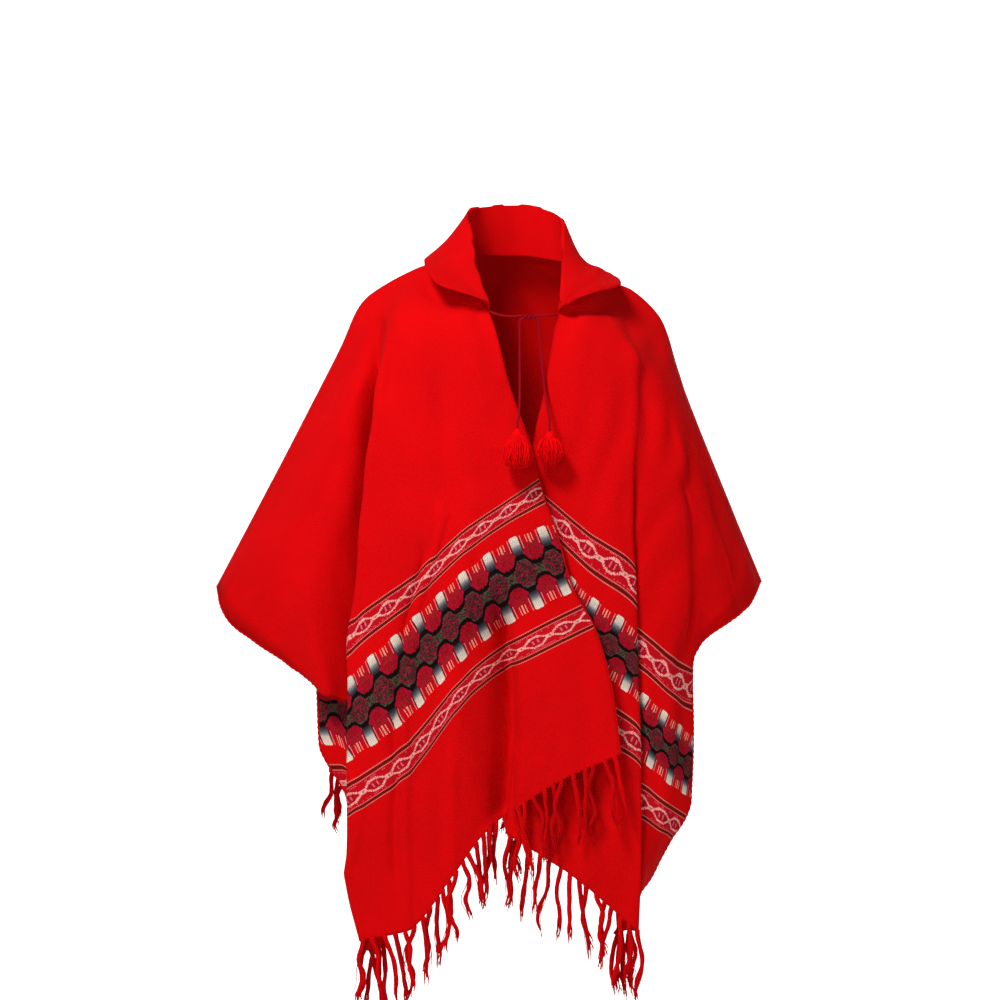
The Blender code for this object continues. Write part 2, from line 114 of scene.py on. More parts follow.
def run_lengths(points):
    """Distance walked along the last-but-one axis of the points, starting from 0."""
    steps = np.linalg.norm(np.diff(points, axis=-2), axis=-1)
    return np.concatenate([np.zeros(steps.shape[:-1] + (1,)), np.cumsum(steps, axis=-1)], axis=-1)


def outward(points, flip):
    """Unit normals of a grid: the cross product of its steps down and its steps across."""
    normals = unit(np.cross(np.gradient(points, axis=0), np.gradient(points, axis=1)))
    return -normals if flip else normals


def at_places(places, walked, line):
    """Points of a line at some places on it: x, y and z read off straight over the distance walked."""
    return np.stack([np.interp(places, walked, line[:, axis]) for axis in range(3)], axis=1)


def rings(tangent, angle):
    """Unit directions round a line: cos a * across + sin a * over, with across = tangent x BACKWARD.

    They never twist while the line stays away from that direction.
    """
    across = unit(np.cross(tangent, BACKWARD))
    over = np.cross(tangent, across)
    return np.cos(angle)[..., None] * across + np.sin(angle)[..., None] * over


# %% [markdown]
# ## From points to a mesh
# Blender keeps a mesh as three lists: points, the point at each corner of each face, and where each face
# starts among the corners. Worked out as whole arrays and handed over at once, they make a cloth of
# thirty thousand faces in a blink. Cloth and yarn keep a map in metres, so that a weave or a twist can be
# given its real size.

# %% Mesh helpers
def new_mesh(name, points, loops, starts):
    """A smooth mesh from its points, the point at every corner of a face, and where each face starts."""
    mesh = bpy.data.meshes.new(name)
    mesh.vertices.add(points.size // 3)
    mesh.vertices.foreach_set("co", points.reshape(-1).astype(np.float32))
    mesh.loops.add(len(loops))
    mesh.loops.foreach_set("vertex_index", loops.astype(np.int32))
    mesh.polygons.add(len(starts))
    mesh.polygons.foreach_set("loop_start", starts.astype(np.int32))
    mesh.update(calc_edges=True)
    mesh.shade_smooth()
    return mesh


def add_map(mesh, name, pairs, loops):
    """Give a mesh a map: one pair of values for each point, laid out corner by corner."""
    layer = mesh.uv_layers.new(name=name)
    layer.data.foreach_set("uv", pairs.reshape(-1, 2)[loops].ravel().astype(np.float32))


def finish_object(name, mesh, material, wall=0.0):
    """Make the mesh a piece that rides on the root, with a wall on its outer side if it is cloth."""
    thing = in_scene(name, mesh)
    mesh.materials.append(material)
    if wall:
        thickness = thing.modifiers.new("wall", "SOLIDIFY")
        thickness.thickness = wall
        thickness.offset = 1.0
    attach(thing, "root")
    return thing


def grid_object(name, points, flip, material, uv=None, wall=0.0):
    """A piece over rows and columns of points, with its own map in metres of cloth if it has one."""
    rows, columns = points.shape[:2]
    corner = np.arange(rows * columns).reshape(rows, columns)
    quads = np.stack([corner[:-1, :-1], corner[1:, :-1], corner[1:, 1:], corner[:-1, 1:]], axis=-1)
    loops = (quads[..., ::-1] if flip else quads).ravel()
    mesh = new_mesh(name, points, loops, np.arange(0, loops.size, 4))
    if uv is not None:
        add_map(mesh, "cloth_metres", uv, loops)
    return finish_object(name, mesh, material, wall)


def tubes_object(name, paths, radii, sides, material, tint):
    """Many round yarns as one piece: point = path + radius * ring direction, with the ends closed.

    paths is yarns x stations x 3, radii is yarns x stations, and tint is one number from 0 to 1 for each
    yarn, which its material reads as how dark it is.
    """
    yarns, stations = radii.shape
    tangent = unit(np.gradient(paths, axis=1))
    angle = np.arange(sides) * 2 * np.pi / sides
    ring = rings(tangent[:, :, None], angle)
    points = paths[:, :, None] + radii[:, :, None, None] * ring
    index = np.arange(yarns * stations * sides).reshape(yarns, stations, sides)
    a, b = index[:, :-1], index[:, 1:]
    quads = np.stack([a, np.roll(a, -1, axis=2), np.roll(b, -1, axis=2), b], axis=-1).reshape(-1, 4)
    caps = np.concatenate([index[:, 0, ::-1], index[:, -1]])
    loops = np.concatenate([quads.ravel(), caps.ravel()])
    starts = np.concatenate([np.arange(0, quads.size, 4), quads.size + np.arange(0, caps.size, sides)])
    mesh = new_mesh(name, points, loops, starts)
    turn = np.broadcast_to(angle / (2 * np.pi), index.shape)
    along = np.broadcast_to(run_lengths(paths)[:, :, None], index.shape)
    add_map(mesh, "yarn_metres", np.stack([turn, along], axis=-1), loops)
    shade = mesh.attributes.new("yarn_tint", "FLOAT", "POINT")
    shade.data.foreach_set("value", np.repeat(tint, stations * sides).astype(np.float32))
    return finish_object(name, mesh, material)


# %% [markdown]
# ## The tie
# Two thin cords start inside the neck edges, are wrapped once and a half round each other, and hang. Each
# follows a list of points; the wrap is a short helix, centre + radius * (cos, sin), with the second cord half
# a turn behind the first. The yarn of a real cord is three plies twisted together, so three thin tubes wind
# round the cord's line rather than one plain tube.

# %% Cord routes
WRAP_POINTS = 25
ROUTE_POINTS = 240
# the knot and the points of both cords, in mm
KNOT_START = np.array((20.5, -113.0, -42.0))
KNOT_END = np.array((37.5, -113.0, -42.0))
KNOT_TURNS = 1.5
KNOT_RADIUS = 1.75
RIGHT_LEAD = ((-12, -105, -37), (-2, -110, -40), (9, -113, -41))
RIGHT_HANG = ((40, -113, -47), (41, -114, -60), (43.5, -118, -90), (46.5, -126, -123), (50, -136, -150),
              (53, -149, -173), (53, -150, -180))
LEFT_LEAD = ((58, -106, -39), (50, -111, -40))
LEFT_HANG = ((17.5, -113, -47), (17.5, -114, -60), (17.5, -120, -95), (17.5, -134, -130), (16.5, -155, -160),
             (14.5, -164, -170), (14.5, -165, -177))


def tie_route(start, lead, hang, sign):
    """Lead, then the helix from one end of the knot to the other, then the hanging end, in metres."""
    first, last = (KNOT_START, KNOT_END) if sign > 0 else (KNOT_END, KNOT_START)
    turn = np.linspace(0, 1, WRAP_POINTS)[:, None]
    angle = np.pi / 2 - sign * turn * 2 * np.pi * KNOT_TURNS
    ring = np.concatenate([np.zeros_like(angle), np.cos(angle), np.sin(angle)], axis=1)
    wrap = first + (last - first) * turn + KNOT_RADIUS * ring
    route = np.concatenate([[start], lead, wrap, hang]) * MM
    lengths = run_lengths(route)
    return smooth(lengths, route, np.linspace(0, lengths[-1], ROUTE_POINTS))


right_route = tie_route((-18.8, -99.0, -34.0), RIGHT_LEAD, RIGHT_HANG, 1)
left_route = tie_route((62.8, -99.0, -38.0), LEFT_LEAD, LEFT_HANG, -1)
print("cord lengths", round(run_lengths(right_route)[-1], 4), round(run_lengths(left_route)[-1], 4))

# %% [markdown]
# ## The panels of cloth
# The cloth falls from the shoulder line as a right front, a left front and a back. The tables give the
# inside of the cloth in millimetres. Their first number is the distance from the shoulder line along the
# cloth, so it also says where each woven band lies, and a fold can't slide the bands out of line.

# %% Right front, which lies on top
RIGHT_FRONT = (
    (0, (-66, 0, 40), (-75, 0, 38), (-84, 0, 35), (-92, 0, 31), (-102, 0, 28),
     (-175, 0, -14), (-207, 0, -79), (-299, 0, -257), (-359, 0, -371)),
    (45, (-47, -62, 0), (-61, -66, -4), (-75, -67, -8), (-92, -66, -13), (-123, -62, -21),
     (-159, -32, -40), (-198, -28, -99), (-286, -40, -276), (-353, -28, -387)),
    (95, (-21, -98, -33), (-42, -105, -47), (-66, -108, -61), (-97, -108, -76), (-145, -100, -95),
     (-156, -42, -98), (-187, -71, -148), (-262, -82, -302), (-339, -46, -412)),
    (190, (5, -120, -128), (-28, -132, -152), (-60, -135, -172), (-102, -136, -198), (-162, -126, -210),
     (-163, -44, -216), (-190, -85, -256), (-244, -101, -338), (-302, -66, -438)),
    (262, (32, -133, -203), (-6, -146, -231), (-45, -149, -255), (-101, -150, -298), (-173, -138, -349),
     (-162, -48, -358), (-198, -92, -352), (-232, -110, -398), (-270, -78, -458)),
    (331, (48, -141, -266), (4, -152, -290), (-42, -156, -322), (-117, -156, -391), (-184, -143, -452),
     (-158, -70, -484), (-194, -100, -505), (-212, -113, -501), (-234, -92, -483)),
    (349, (57, -142, -289), (12, -153, -305), (-37, -157, -337), (-119, -157, -411), (-184, -144, -477),
     (-144, -104, -510), (-193, -86, -498), (-210, -85, -491), (-229, -80, -489)),
    (437, (82, -146, -372), (27, -155, -399), (-37, -159, -441), (-121, -159, -529), (-185, -146, -577),
     (-141, -106, -589), (-191, -90, -569), (-208, -86, -561), (-225, -80, -561)),
    (486, (106, -149, -415), (48, -157, -443), (-37, -161, -493), (-118, -160, -593), (-188, -148, -642),
     (-144, -110, -646), (-173, -96, -634), (-183, -91, -627), (-191, -86, -627)),
    (560, (127, -154, -489), (61, -158, -526), (-34, -161, -574), (-119, -160, -669), (-188, -149, -706),
     (-146, -118, -715), (-168, -104, -708), (-176, -99, -703), (-183, -94, -699)),
    (646, (137, -160, -565), (65, -160, -597), (-27, -160, -664), (-116, -160, -774), (-173, -151, -788),
     (-143, -130, -797), (-156, -120, -804), (-162, -115, -806), (-168, -110, -806)),
)

# %% Left front, which passes under it
LEFT_FRONT = (
    (0, (94, 0, 30), (109, 0, 22), (126, 0, 14), (140, 0, 6), (154, 0, 0),
     (192, 0, -35), (221, 0, -124), (319, 0, -364)),
    (45, (81, -62, -3), (104, -66, -14), (132, -62, -35), (146, -54, -44), (159, -50, -51),
     (193, -38, -74), (229, -40, -160), (312, -28, -374)),
    (95, (65, -98, -37), (100, -106, -59), (157, -104, -96), (166, -98, -104), (178, -91, -112),
     (199, -78, -134), (234, -64, -206), (299, -46, -393)),
    (190, (49, -118, -128), (100, -126, -166), (152, -119, -202), (157, -115, -218), (171, -112, -228),
     (207, -103, -243), (240, -84, -282), (276, -64, -410)),
    (262, (34, -126, -202), (97, -132, -260), (152, -121, -298), (134, -114, -338), (162, -115, -360),
     (216, -104, -357), (233, -90, -374), (237, -76, -440)),
    (300, (32, -129, -243), (97, -134, -298), (154, -123, -343), (123, -116, -386), (163, -117, -418),
     (198, -112, -447), (215, -98, -459), (228, -84, -468)),
    (349, (29, -132, -298), (99, -137, -373), (157, -126, -423), (121, -119, -466), (165, -120, -493),
     (198, -114, -522), (215, -99, -537), (227, -87, -548)),
    (437, (23, -134, -394), (102, -139, -463), (159, -129, -512), (123, -122, -557), (167, -123, -580),
     (197, -117, -606), (213, -101, -618), (225, -90, -627)),
    (486, (19, -135, -459), (102, -140, -541), (161, -133, -585), (128, -126, -624), (167, -126, -648),
     (185, -119, -661), (194, -105, -667), (201, -94, -673)),
    (560, (12, -134, -555), (96, -142, -633), (161, -142, -671), (131, -135, -710), (163, -134, -717),
     (168, -121, -719), (171, -109, -720), (173, -100, -721)),
    (646, (1, -136, -662), (82, -144, -713), (158, -137, -779), (134, -115, -777), (149, -108, -781),
     (146, -104, -783), (141, -102, -785), (132, -100, -788)),
)

# %% Back, from the right selvedge to the left one
BACK = (
    (0, (-359, 0, -371), (-299, 0, -257), (-207, 0, -79), (-175, 0, -14), (-66, 0, 40), (-38, 42, 46),
     (15, 60, 48), (66, 42, 40), (94, 0, 30), (154, 0, 0), (192, 0, -35), (221, 0, -124), (319, 0, -364)),
    (70, (-346, 34, -390), (-286, 42, -276), (-204, 44, -110), (-164, 58, -50), (-84, 80, -6), (-40, 92, 4),
     (14, 98, 6), (68, 92, 0), (108, 80, -12), (156, 60, -40), (192, 46, -82), (226, 42, -160),
     (310, 32, -376)),
    (150, (-322, 58, -410), (-256, 74, -284), (-192, 82, -150), (-146, 104, -112), (-88, 116, -86),
     (-40, 120, -76), (14, 122, -74), (68, 120, -80), (110, 114, -92), (156, 98, -122), (188, 80, -152),
     (232, 72, -240), (294, 56, -396)),
    (262, (-274, 84, -440), (-236, 98, -366), (-190, 112, -280), (-146, 128, -244), (-90, 126, -220),
     (-40, 130, -212), (14, 136, -208), (68, 130, -214), (112, 124, -224), (157, 124, -250),
     (187, 108, -278), (222, 94, -330), (262, 78, -428)),
    (380, (-226, 104, -490), (-212, 118, -452), (-186, 134, -400), (-146, 146, -368), (-92, 130, -350),
     (-40, 134, -342), (14, 146, -338), (68, 134, -344), (114, 128, -354), (158, 144, -372),
     (186, 130, -396), (206, 114, -430), (226, 98, -472)),
    (500, (-212, 108, -548), (-202, 126, -532), (-182, 146, -510), (-148, 158, -496), (-94, 132, -486),
     (-40, 138, -480), (14, 156, -476), (68, 138, -480), (116, 130, -488), (160, 156, -500),
     (184, 140, -512), (196, 120, -524), (206, 102, -540)),
    (646, (-226, 106, -614), (-212, 126, -626), (-186, 150, -640), (-148, 168, -650), (-94, 134, -648),
     (-40, 142, -644), (14, 166, -640), (68, 142, -644), (116, 134, -646), (160, 164, -644),
     (182, 146, -632), (192, 124, -618), (198, 104, -606)),
)

# %% Collar
COLLAR = (
    # place on the neckline, roll, free edge, dip
    (0.00, (-21, -106, -25), (-29, -112, -22), 0),
    (0.07, (-29, -88, -2), (-52, -106, -15), 2),
    (0.14, (-37, -60, 28), (-84, -98, -4), 3),
    (0.21, (-41, -28, 61), (-98, -58, 22), 3),
    (0.28, (-47, 4, 95), (-99, -8, 36), 2),
    (0.39, (-32, 42, 108), (-74, 62, 36), 4),
    (0.51, (15, 60, 113), (15, 98, 32), 4),
    (0.63, (60, 42, 102), (101, 63, 24), 5),
    (0.735, (73, 4, 82), (134, -8, 17), 8),
    (0.80, (71, -28, 42), (142, -60, 0), 7),
    (0.87, (70, -62, 6), (114, -97, -14), 5),
    (0.94, (69, -90, -18), (89, -108, -22), 2),
    (1.00, (68, -106, -29), (75, -113, -27), 0),
)

# %% [markdown]
# ## Laying the cloth
# Both directions of a table are run through the smooth curve, and the columns are then spread so that they
# lie evenly along the cloth. The map of the cloth is measured on the finished surface: across it is the
# distance walked from the front edge and down it is the distance from the shoulder line, so the weave keeps
# its true size wherever the cloth goes.

# %% Points of a panel
THREAD_STEP = 3.4 * MM
LENGTH = 646                # mm from the shoulder line to the hem


def even_columns(cells, row, spacing):
    """Column parameters that lie evenly along one row of the table."""
    dense = np.linspace(0, cells.shape[1] - 1, 3000)
    walked = run_lengths(smooth(np.arange(cells.shape[1]), cells[row], dense))
    count = int(walked[-1] / spacing) + 1
    return np.interp(np.linspace(0, walked[-1], count), walked, dense)


def drape(table, row, troughs=()):
    """Rows x columns of points, the columns they lie on, and the distances down."""
    distances = [line[0] for line in table]
    cells = np.array([line[1:] for line in table], float) * MM
    down = np.linspace(0, LENGTH, int(LENGTH * MM / THREAD_STEP) + 1)
    across = even_columns(cells, row, THREAD_STEP)
    points = smooth(np.arange(cells.shape[1]), smooth(distances, cells, down).swapaxes(0, 1), across)
    points = points.swapaxes(0, 1)
    for start, end, column_at_start, column_at_end, half_width, depth in troughs:
        along = np.clip((down - start) / (end - start), 0, 1)
        middle = column_at_start + (column_at_end - column_at_start) * along
        fade = np.sin(np.pi * np.clip(along, 0, 0.5)) ** 2
        bump = np.exp(-((across[None, :] - middle[:, None]) / half_width) ** 2)
        points[:, :, 1] += depth * MM * fade[:, None] * bump
    return points, across, down * MM


print("thread lines", int(LENGTH * MM / THREAD_STEP) + 1)

# %% [markdown]
# ## Creases and ripples
# Small folds are best laid on the finished surface, in places measured along the cloth. Each is a line
# beside which the cloth is pushed out or in along its own normals. Slow random waves then break up the
# evenness that no hanging cloth has.

# %% Creases and ripples
def crease(points, cloth, normals, lines):
    """Push the cloth along its normals beside each line on it: widths, depth and (down, across) places in mm.

    One width w is a soft dent, depth * exp(-(x / w)^2). Two are a crease with a different slope on each
    side, depth * exp(-(sqrt(x^2 + 16) - 4) / w), which is steepest beside its line. Past its ends it fades.
    """
    down, over = cloth[..., 1] / MM, cloth[..., 0] / MM
    moved = np.zeros(down.shape)
    for width, depth, places in lines:
        rows, middles = np.array(places, float).T
        level = np.clip(down, rows[0], rows[-1])
        x = over - smooth(rows, middles, level.ravel()).reshape(down.shape)
        near, far = width if isinstance(width, tuple) else (width, width)
        w = np.where(x < 0, near, far)
        shape = (np.sqrt(x**2 + 16) - 4) / w if isinstance(width, tuple) else (x / w) ** 2
        moved += depth * np.exp(-shape - ((down - level) / (1.2 * max(near, far) + 8)) ** 2)
    return points + normals * (moved * MM)[..., None]


def ripple(cloth, seed, height):
    """Sum of sixteen slow waves over the cloth, longer down the warp than across it, at most about height."""
    draw = np.random.default_rng(seed).uniform
    down, over = cloth[..., 1, None], cloth[..., 0, None]
    across_waves = draw(8, 28, 16)
    down_waves = draw(-7, 7, 16)
    phase = draw(0, 2 * np.pi, 16)
    return height / 4 * np.sin(2 * np.pi * (over * across_waves + down * down_waves) + phase).sum(axis=-1)


# %% A finished panel
RIPPLE_HEIGHT = 0.9 * MM
ROUNDING = 12 * MM              # how far from the shoulder line the cloth turns over it


def lay(table, row, flip, seed, lines=(), troughs=(), settle=None, gathered=None, tucked=None, zero=None):
    """A finished panel: points, the map of its cloth, and its normals.

    gathered lists (distance across, distance in the cloth) where small folds take cloth up. tucked is a
    table column and (distance down, cloth hidden) places: past that column the cloth lies slack by so much.
    zero is the table column that the map is measured from, if that isn't the first.
    """
    points, across, down = drape(table, row, troughs)
    if settle is not None:
        points = settle(points, down)
    walked = run_lengths(points)
    cloth = np.stack([walked, np.broadcast_to(down[:, None], walked.shape)], axis=-1)
    normals = outward(points, flip)
    points = crease(points, cloth, normals, lines)
    below_shoulder = np.clip(down / (30 * MM), 0, 1)[:, None]
    points = points + normals * (ripple(cloth, seed, RIPPLE_HEIGHT) * below_shoulder)[..., None]
    if gathered is not None:
        cloth[..., 0] = np.interp(cloth[..., 0], *(np.array(gathered, float).T * MM))
    if tucked is not None:
        column, places = tucked
        share = np.clip((across - column) / 0.6 + 0.5, 0, 1)
        cloth[..., 1] -= np.interp(down, *(np.array(places, float).T * MM))[:, None] * share
    if zero is not None:
        cloth[..., 0] -= cloth[:, np.argmin(np.abs(across - zero)), 0][:, None]
    return points, cloth, outward(points, flip)


def round_shoulder(points, down):
    """Lift z by slope * s * exp(-(s / rounding)^2), which turns the fold at the shoulder level at its top."""
    slope = (points[0, :, 2] - points[4, :, 2]) / (down[4] - down[0])
    lifted = points.copy()
    lifted[:, :, 2] += np.maximum(slope, 0) * down[:, None] * np.exp(-((down[:, None] / ROUNDING) ** 2))
    return lifted


# %% Creases of each panel
# Each line: width or two widths, depth (outwards is positive), and places (down, across) on the cloth.
RIGHT_CREASES = (
    (6, 3.5, ((70, 118), (95, 141), (190, 192), (262, 256), (331, 302), (437, 342), (560, 388))),
    (9, -5, ((290, 172), (320, 194), (354, 222), (388, 242), (435, 274), (510, 318), (578, 330))),
    (7, 3.5, ((269, 134), (320, 176), (354, 205), (388, 225), (435, 258), (510, 302), (578, 314),
              (639, 335))),
    (13, 2.5, ((275, 90), (343, 117), (398, 142), (476, 189), (558, 224), (632, 248))),
    ((11, 19), -44, ((440, 95), (500, 120), (547, 137), (585, 147), (630, 156))),
    (10, 5, ((440, 80), (500, 103), (547, 119), (615, 135), (646, 142))),
    (13, -7, ((46, 40), (68, 29), (82, 14))),
    (20, -3, ((110, 70), (180, 96), (250, 130))),
    (26, -4, ((60, 330), (110, 362), (160, 390))),
    (10, -3, ((45, 400), (90, 420), (130, 430))))
LEFT_CREASES = (
    (10, 1, ((51, 48), (65, 71), (99, 112), (146, 119), (258, 149), (296, 156), (401, 182), (476, 192))),
    (13, -3, ((110, 128), (150, 146), (190, 158))),
    (13, -5, ((48, 46), (68, 34), (82, 12))),
    (9, 2, ((120, 186), (173, 218), (224, 269), (286, 330))),
    ((8, 22), -8, ((187, 220), (218, 259), (248, 296), (280, 332))),
    (3.5, -1.8, ((527, 100), (547, 109), (575, 105))),
    (3.5, -1.8, ((517, 104), (530, 124), (547, 123))),
    (4, -1.6, ((483, 147), (530, 148), (554, 146))),
    (5, 1.8, ((505, 168), (524, 172), (545, 176))),
    (18, -3, ((330, 60), (440, 84), (560, 96))),
    (10, 2, ((60, 330), (110, 350), (150, 362))),
    (11, -3, ((50, 380), (100, 392), (140, 384))))
BACK_CREASES = (
    (15, -11, ((90, 400), (150, 352), (262, 214), (380, 130), (500, 72), (600, 60))),
    (12, 4, ((150, 400), (262, 270), (380, 186), (500, 124), (646, 122))),
    ((9, 24), -6, ((200, 420), (262, 356), (380, 272), (500, 216), (646, 214))),
    (13, 3, ((262, 440), (380, 350), (500, 298), (646, 300))),
    ((22, 10), -12, ((180, 560), (262, 500), (380, 420), (500, 366), (646, 372))),
    (12, 4, ((262, 560), (380, 474), (500, 410), (646, 422))),
    (15, -10, ((90, 760), (150, 690), (262, 590), (380, 520), (500, 448))),
    (14, -4, ((40, 190), (100, 205), (160, 200))),
    (14, -4, ((40, 1010), (100, 960), (160, 850))))
print("creases", len(RIGHT_CREASES), len(LEFT_CREASES), len(BACK_CREASES))

# %% Lay the panels
right, right_cloth, right_normals = lay(RIGHT_FRONT, 6, True, 3, RIGHT_CREASES,
                                        ((400, 700, 1.70, 1.80, 0.34, 8),), round_shoulder,
                                        tucked=(4.8, ((0, 0), (140, 0), (331, 42), (337, 42), (350, 0))))
left, left_cloth, left_normals = lay(LEFT_FRONT, 6, False, 5, LEFT_CREASES, (), round_shoulder,
                                     ((0, 0), (270, 270), (310, 312), (410, 436), (520, 546)))


def meet_fronts(points, down):
    """Bring the back's shoulder line on to the fronts' one, by a shift that dies away down the cloth."""
    line = np.concatenate([right[0, ::-1], left[0]])
    order = np.argsort(line[:, 0])
    arm = (points[0, :, 0] < right[0, 0, 0]) | (points[0, :, 0] > left[0, 0, 0])
    target = np.interp(points[0, :, 0], line[order, 0], line[order, 2])
    shift = np.where(arm, target - points[0, :, 2], 0)
    moved = points.copy()
    moved[0, :, 1] = np.where(arm, 0, moved[0, :, 1])
    moved[:, :, 2] += shift * np.exp(-down[:, None] / (50 * MM))
    return round_shoulder(moved, down)


back, back_cloth, back_normals = lay(BACK, 4, True, 7, BACK_CREASES, (), meet_fronts, zero=6)
for name, points in (("right front", right), ("left front", left), ("back", back)):
    print(name, points.shape[:2], "hem", round(float(run_lengths(points)[-1, -1]), 3), "m")

# %% [markdown]
# ## The turned collar
# The collar is a strip sewn along the neck: it stands up, rolls over and falls outwards to a free edge. Each
# station along the neck has a profile of five points, seam, middle of the stand, roll, middle of the fall
# and free edge. The middle of the fall dips, because cloth that rolls over springs back in below the roll.

# %% Collar surface
COLLAR_CENTRE = np.array((15.0, 0.0, 0.0)) * MM
COLLAR_ROLL = 0.45                                     # share of the profile from the seam to the roll
COLLAR_ACROSS = (0.0, 0.22, COLLAR_ROLL, 0.72, 1.0)
COLLAR_SEAM_END = 95 * MM                              # the collar is sewn this far down each neck edge
COLLAR_STATIONS = np.linspace(0, 1, 170)
COLLAR_STEPS = np.linspace(0, 1, 64)
COLLAR_POINTS = ((0.14, 0.09), (0.88, 0.08))           # where the two points of the free edge lie, and reach


def neck_edge():
    """The neck edges of the three panels, joined as one line, with the share of it that each point has."""
    rows = int(round(COLLAR_SEAM_END / (right_cloth[1, 0, 1] - right_cloth[0, 0, 1]))) + 1
    nape = (back[0, :, 0] > right[0, 0, 0]) & (back[0, :, 0] < left[0, 0, 0])
    line = np.concatenate([right[:rows, 0][::-1], back[0, nape], left[:rows, 0]])
    walked = run_lengths(line)
    return walked / walked[-1], line


def collar_surface(stations, profile_steps):
    """Grid from the seam to the free edge: each profile is smoothed across, and the stations are along."""
    share, line = neck_edge()
    places = [row[0] for row in COLLAR]
    seam = at_places(stations, share, line)
    roll = smooth(places, np.array([row[1] for row in COLLAR]) * MM, stations)
    edge = smooth(places, np.array([row[2] for row in COLLAR]) * MM, stations)
    dip = smooth(places, np.array([row[3:] for row in COLLAR]) * MM, stations)
    away = unit((roll + edge) / 2 - COLLAR_CENTRE)
    hollow = (away + np.array([0, 0, 1.0])) * dip
    profile = np.stack([seam, (seam + roll) / 2, roll, (roll + edge) / 2 - hollow, edge])
    return smooth(COLLAR_ACROSS, profile, profile_steps)


collar = collar_surface(COLLAR_STATIONS, COLLAR_STEPS)
collar_walk = run_lengths(collar.swapaxes(0, 1)).T
collar_along = run_lengths(collar)
collar_cloth = np.stack([collar_along, collar_walk], axis=-1)


def stand_off(points):
    """Raise both points of the free edge by 5 mm: 3t^2 - 2t^3 from the roll, t = 0, to the edge, t = 1."""
    t = np.clip((COLLAR_STEPS[:, None, None] - COLLAR_ROLL) / (1 - COLLAR_ROLL), 0, 1)
    grow = 3 * t**2 - 2 * t**3
    station = COLLAR_STATIONS[None, :, None]
    raised = 5 * MM * sum(np.exp(-((station - place) / reach) ** 2) for place, reach in COLLAR_POINTS)
    return points + grow * outward(points, True) * raised


collar = stand_off(collar)
collar += outward(collar, True) * (ripple(collar_cloth, 11, 0.7 * MM))[..., None]
print("collar", collar.shape[:2], "seam", round(float(collar_along[0, -1]), 3), "m, depth",
      round(float(collar_walk[-1, 80]), 3), "m")

# %% [markdown]
# ## Fringe, cord and tassel yarn
# A fringe is the warp of the cloth itself: at the hem the loose ends are gathered in small bundles. Each
# bundle here is four tapered yarns that wind loosely round one line, come apart at their tips and sway
# with their neighbours, and a fifth, thin one that has come loose. All the lines of a fringe are one array,
# yarns x stations x 3.

# %% Bundles of a fringe
BUNDLE_PITCH = 13.5 * MM
YARNS = 5
FRINGE_STATIONS = 18


def fringe_lines(hem, hang, length, drift, seed):
    """Yarn lines of a hem: root + walk along a swaying fall + a helix that opens at the tip, and their radii.

    drift leans the whole fringe to +X. The last yarn of each bundle is a thin one that has come loose.
    """
    draw = np.random.default_rng(seed).uniform
    walked = run_lengths(hem)
    bundles = int(walked[-1] / BUNDLE_PITCH)
    one_each = (bundles, 1, 1)
    each_yarn = (bundles, YARNS, 1)
    places = (np.arange(bundles) + 0.5 + draw(-0.16, 0.16, bundles)) * walked[-1] / bundles
    root = at_places(places, walked, hem)
    start = at_places(places, walked, hang)
    t = np.linspace(0, 1, FRINGE_STATIONS)
    number = np.arange(bundles)
    sway = drift + 0.17 * np.sin(number * 0.7 + draw(0, 6)) + draw(-0.16, 0.16, bundles)
    lean = 0.08 * np.sin(number * 0.61 + draw(0, 6)) + draw(-0.05, 0.05, bundles)
    bend = draw(-0.45, 0.45, bundles)
    reach = length * draw(0.80, 1.04, bundles)
    away = np.stack([sway, lean, np.zeros(bundles)], axis=1)
    curl = np.stack([bend, 0.5 * bend[::-1], np.zeros(bundles)], axis=1)
    down = np.array([0.0, 0.0, -1.0])
    first = np.exp(-t / 0.16)[None, :, None]
    turns = draw(0.8, 1.8, one_each) * 2 * np.pi
    fall = down + away[:, None] * np.cos(np.pi * t * 0.4)[None, :, None]
    fall = unit(fall + curl[:, None] * np.sin(turns * t[:, None]) + first * (start[:, None] - down))
    step = (fall[:, :-1] + fall[:, 1:]) / 2 * reach[:, None, None] / (FRINGE_STATIONS - 1)
    middle = root[:, None] + np.concatenate([np.zeros((bundles, 1, 3)), np.cumsum(step, axis=1)], axis=1)
    phase = draw(0, 2 * np.pi, (bundles, 1)) + np.arange(YARNS) * 2 * np.pi / (YARNS - 1)
    angle = phase[..., None] + draw(5, 9, one_each) * t
    loose = (np.arange(YARNS) == YARNS - 1)[:, None]
    wide = draw(2, 7, one_each) * np.sin(np.pi * t * 0.8) ** 1.5
    ring = 1.5 - 0.5 * t + 1.9 * draw(0.1, 1.2, each_yarn) * np.clip(t - 0.6, 0, 1) / 0.4
    ring = np.where(loose, wide, ring)
    angle = np.where(loose, phase[..., None] + 1.5 * t, angle)
    offset = np.stack([np.cos(angle), np.sin(angle), np.zeros_like(angle)], axis=-1) * (ring * MM)[..., None]
    offset[..., 0] += 0.6 * MM * np.sin(t * draw(10, 26, each_yarn) + draw(0, 6, each_yarn)) * t
    lines = middle[:, None] + offset
    lines[..., 2] += (reach[:, None] * draw(0, 0.14, (bundles, YARNS)))[..., None] * t**2
    thick = 1.95 - 0.35 * t - 1.15 * np.clip(t - 0.72, 0, 1) / 0.28
    thick = np.where(loose, 0.75 - 0.35 * t, thick) * MM
    radii = np.tile(thick, (bundles, 1)) * draw(0.82, 1.12, (bundles * YARNS, 1))
    tint = np.repeat(draw(0, 1, bundles), YARNS)
    return lines.reshape(-1, FRINGE_STATIONS, 3), radii, tint


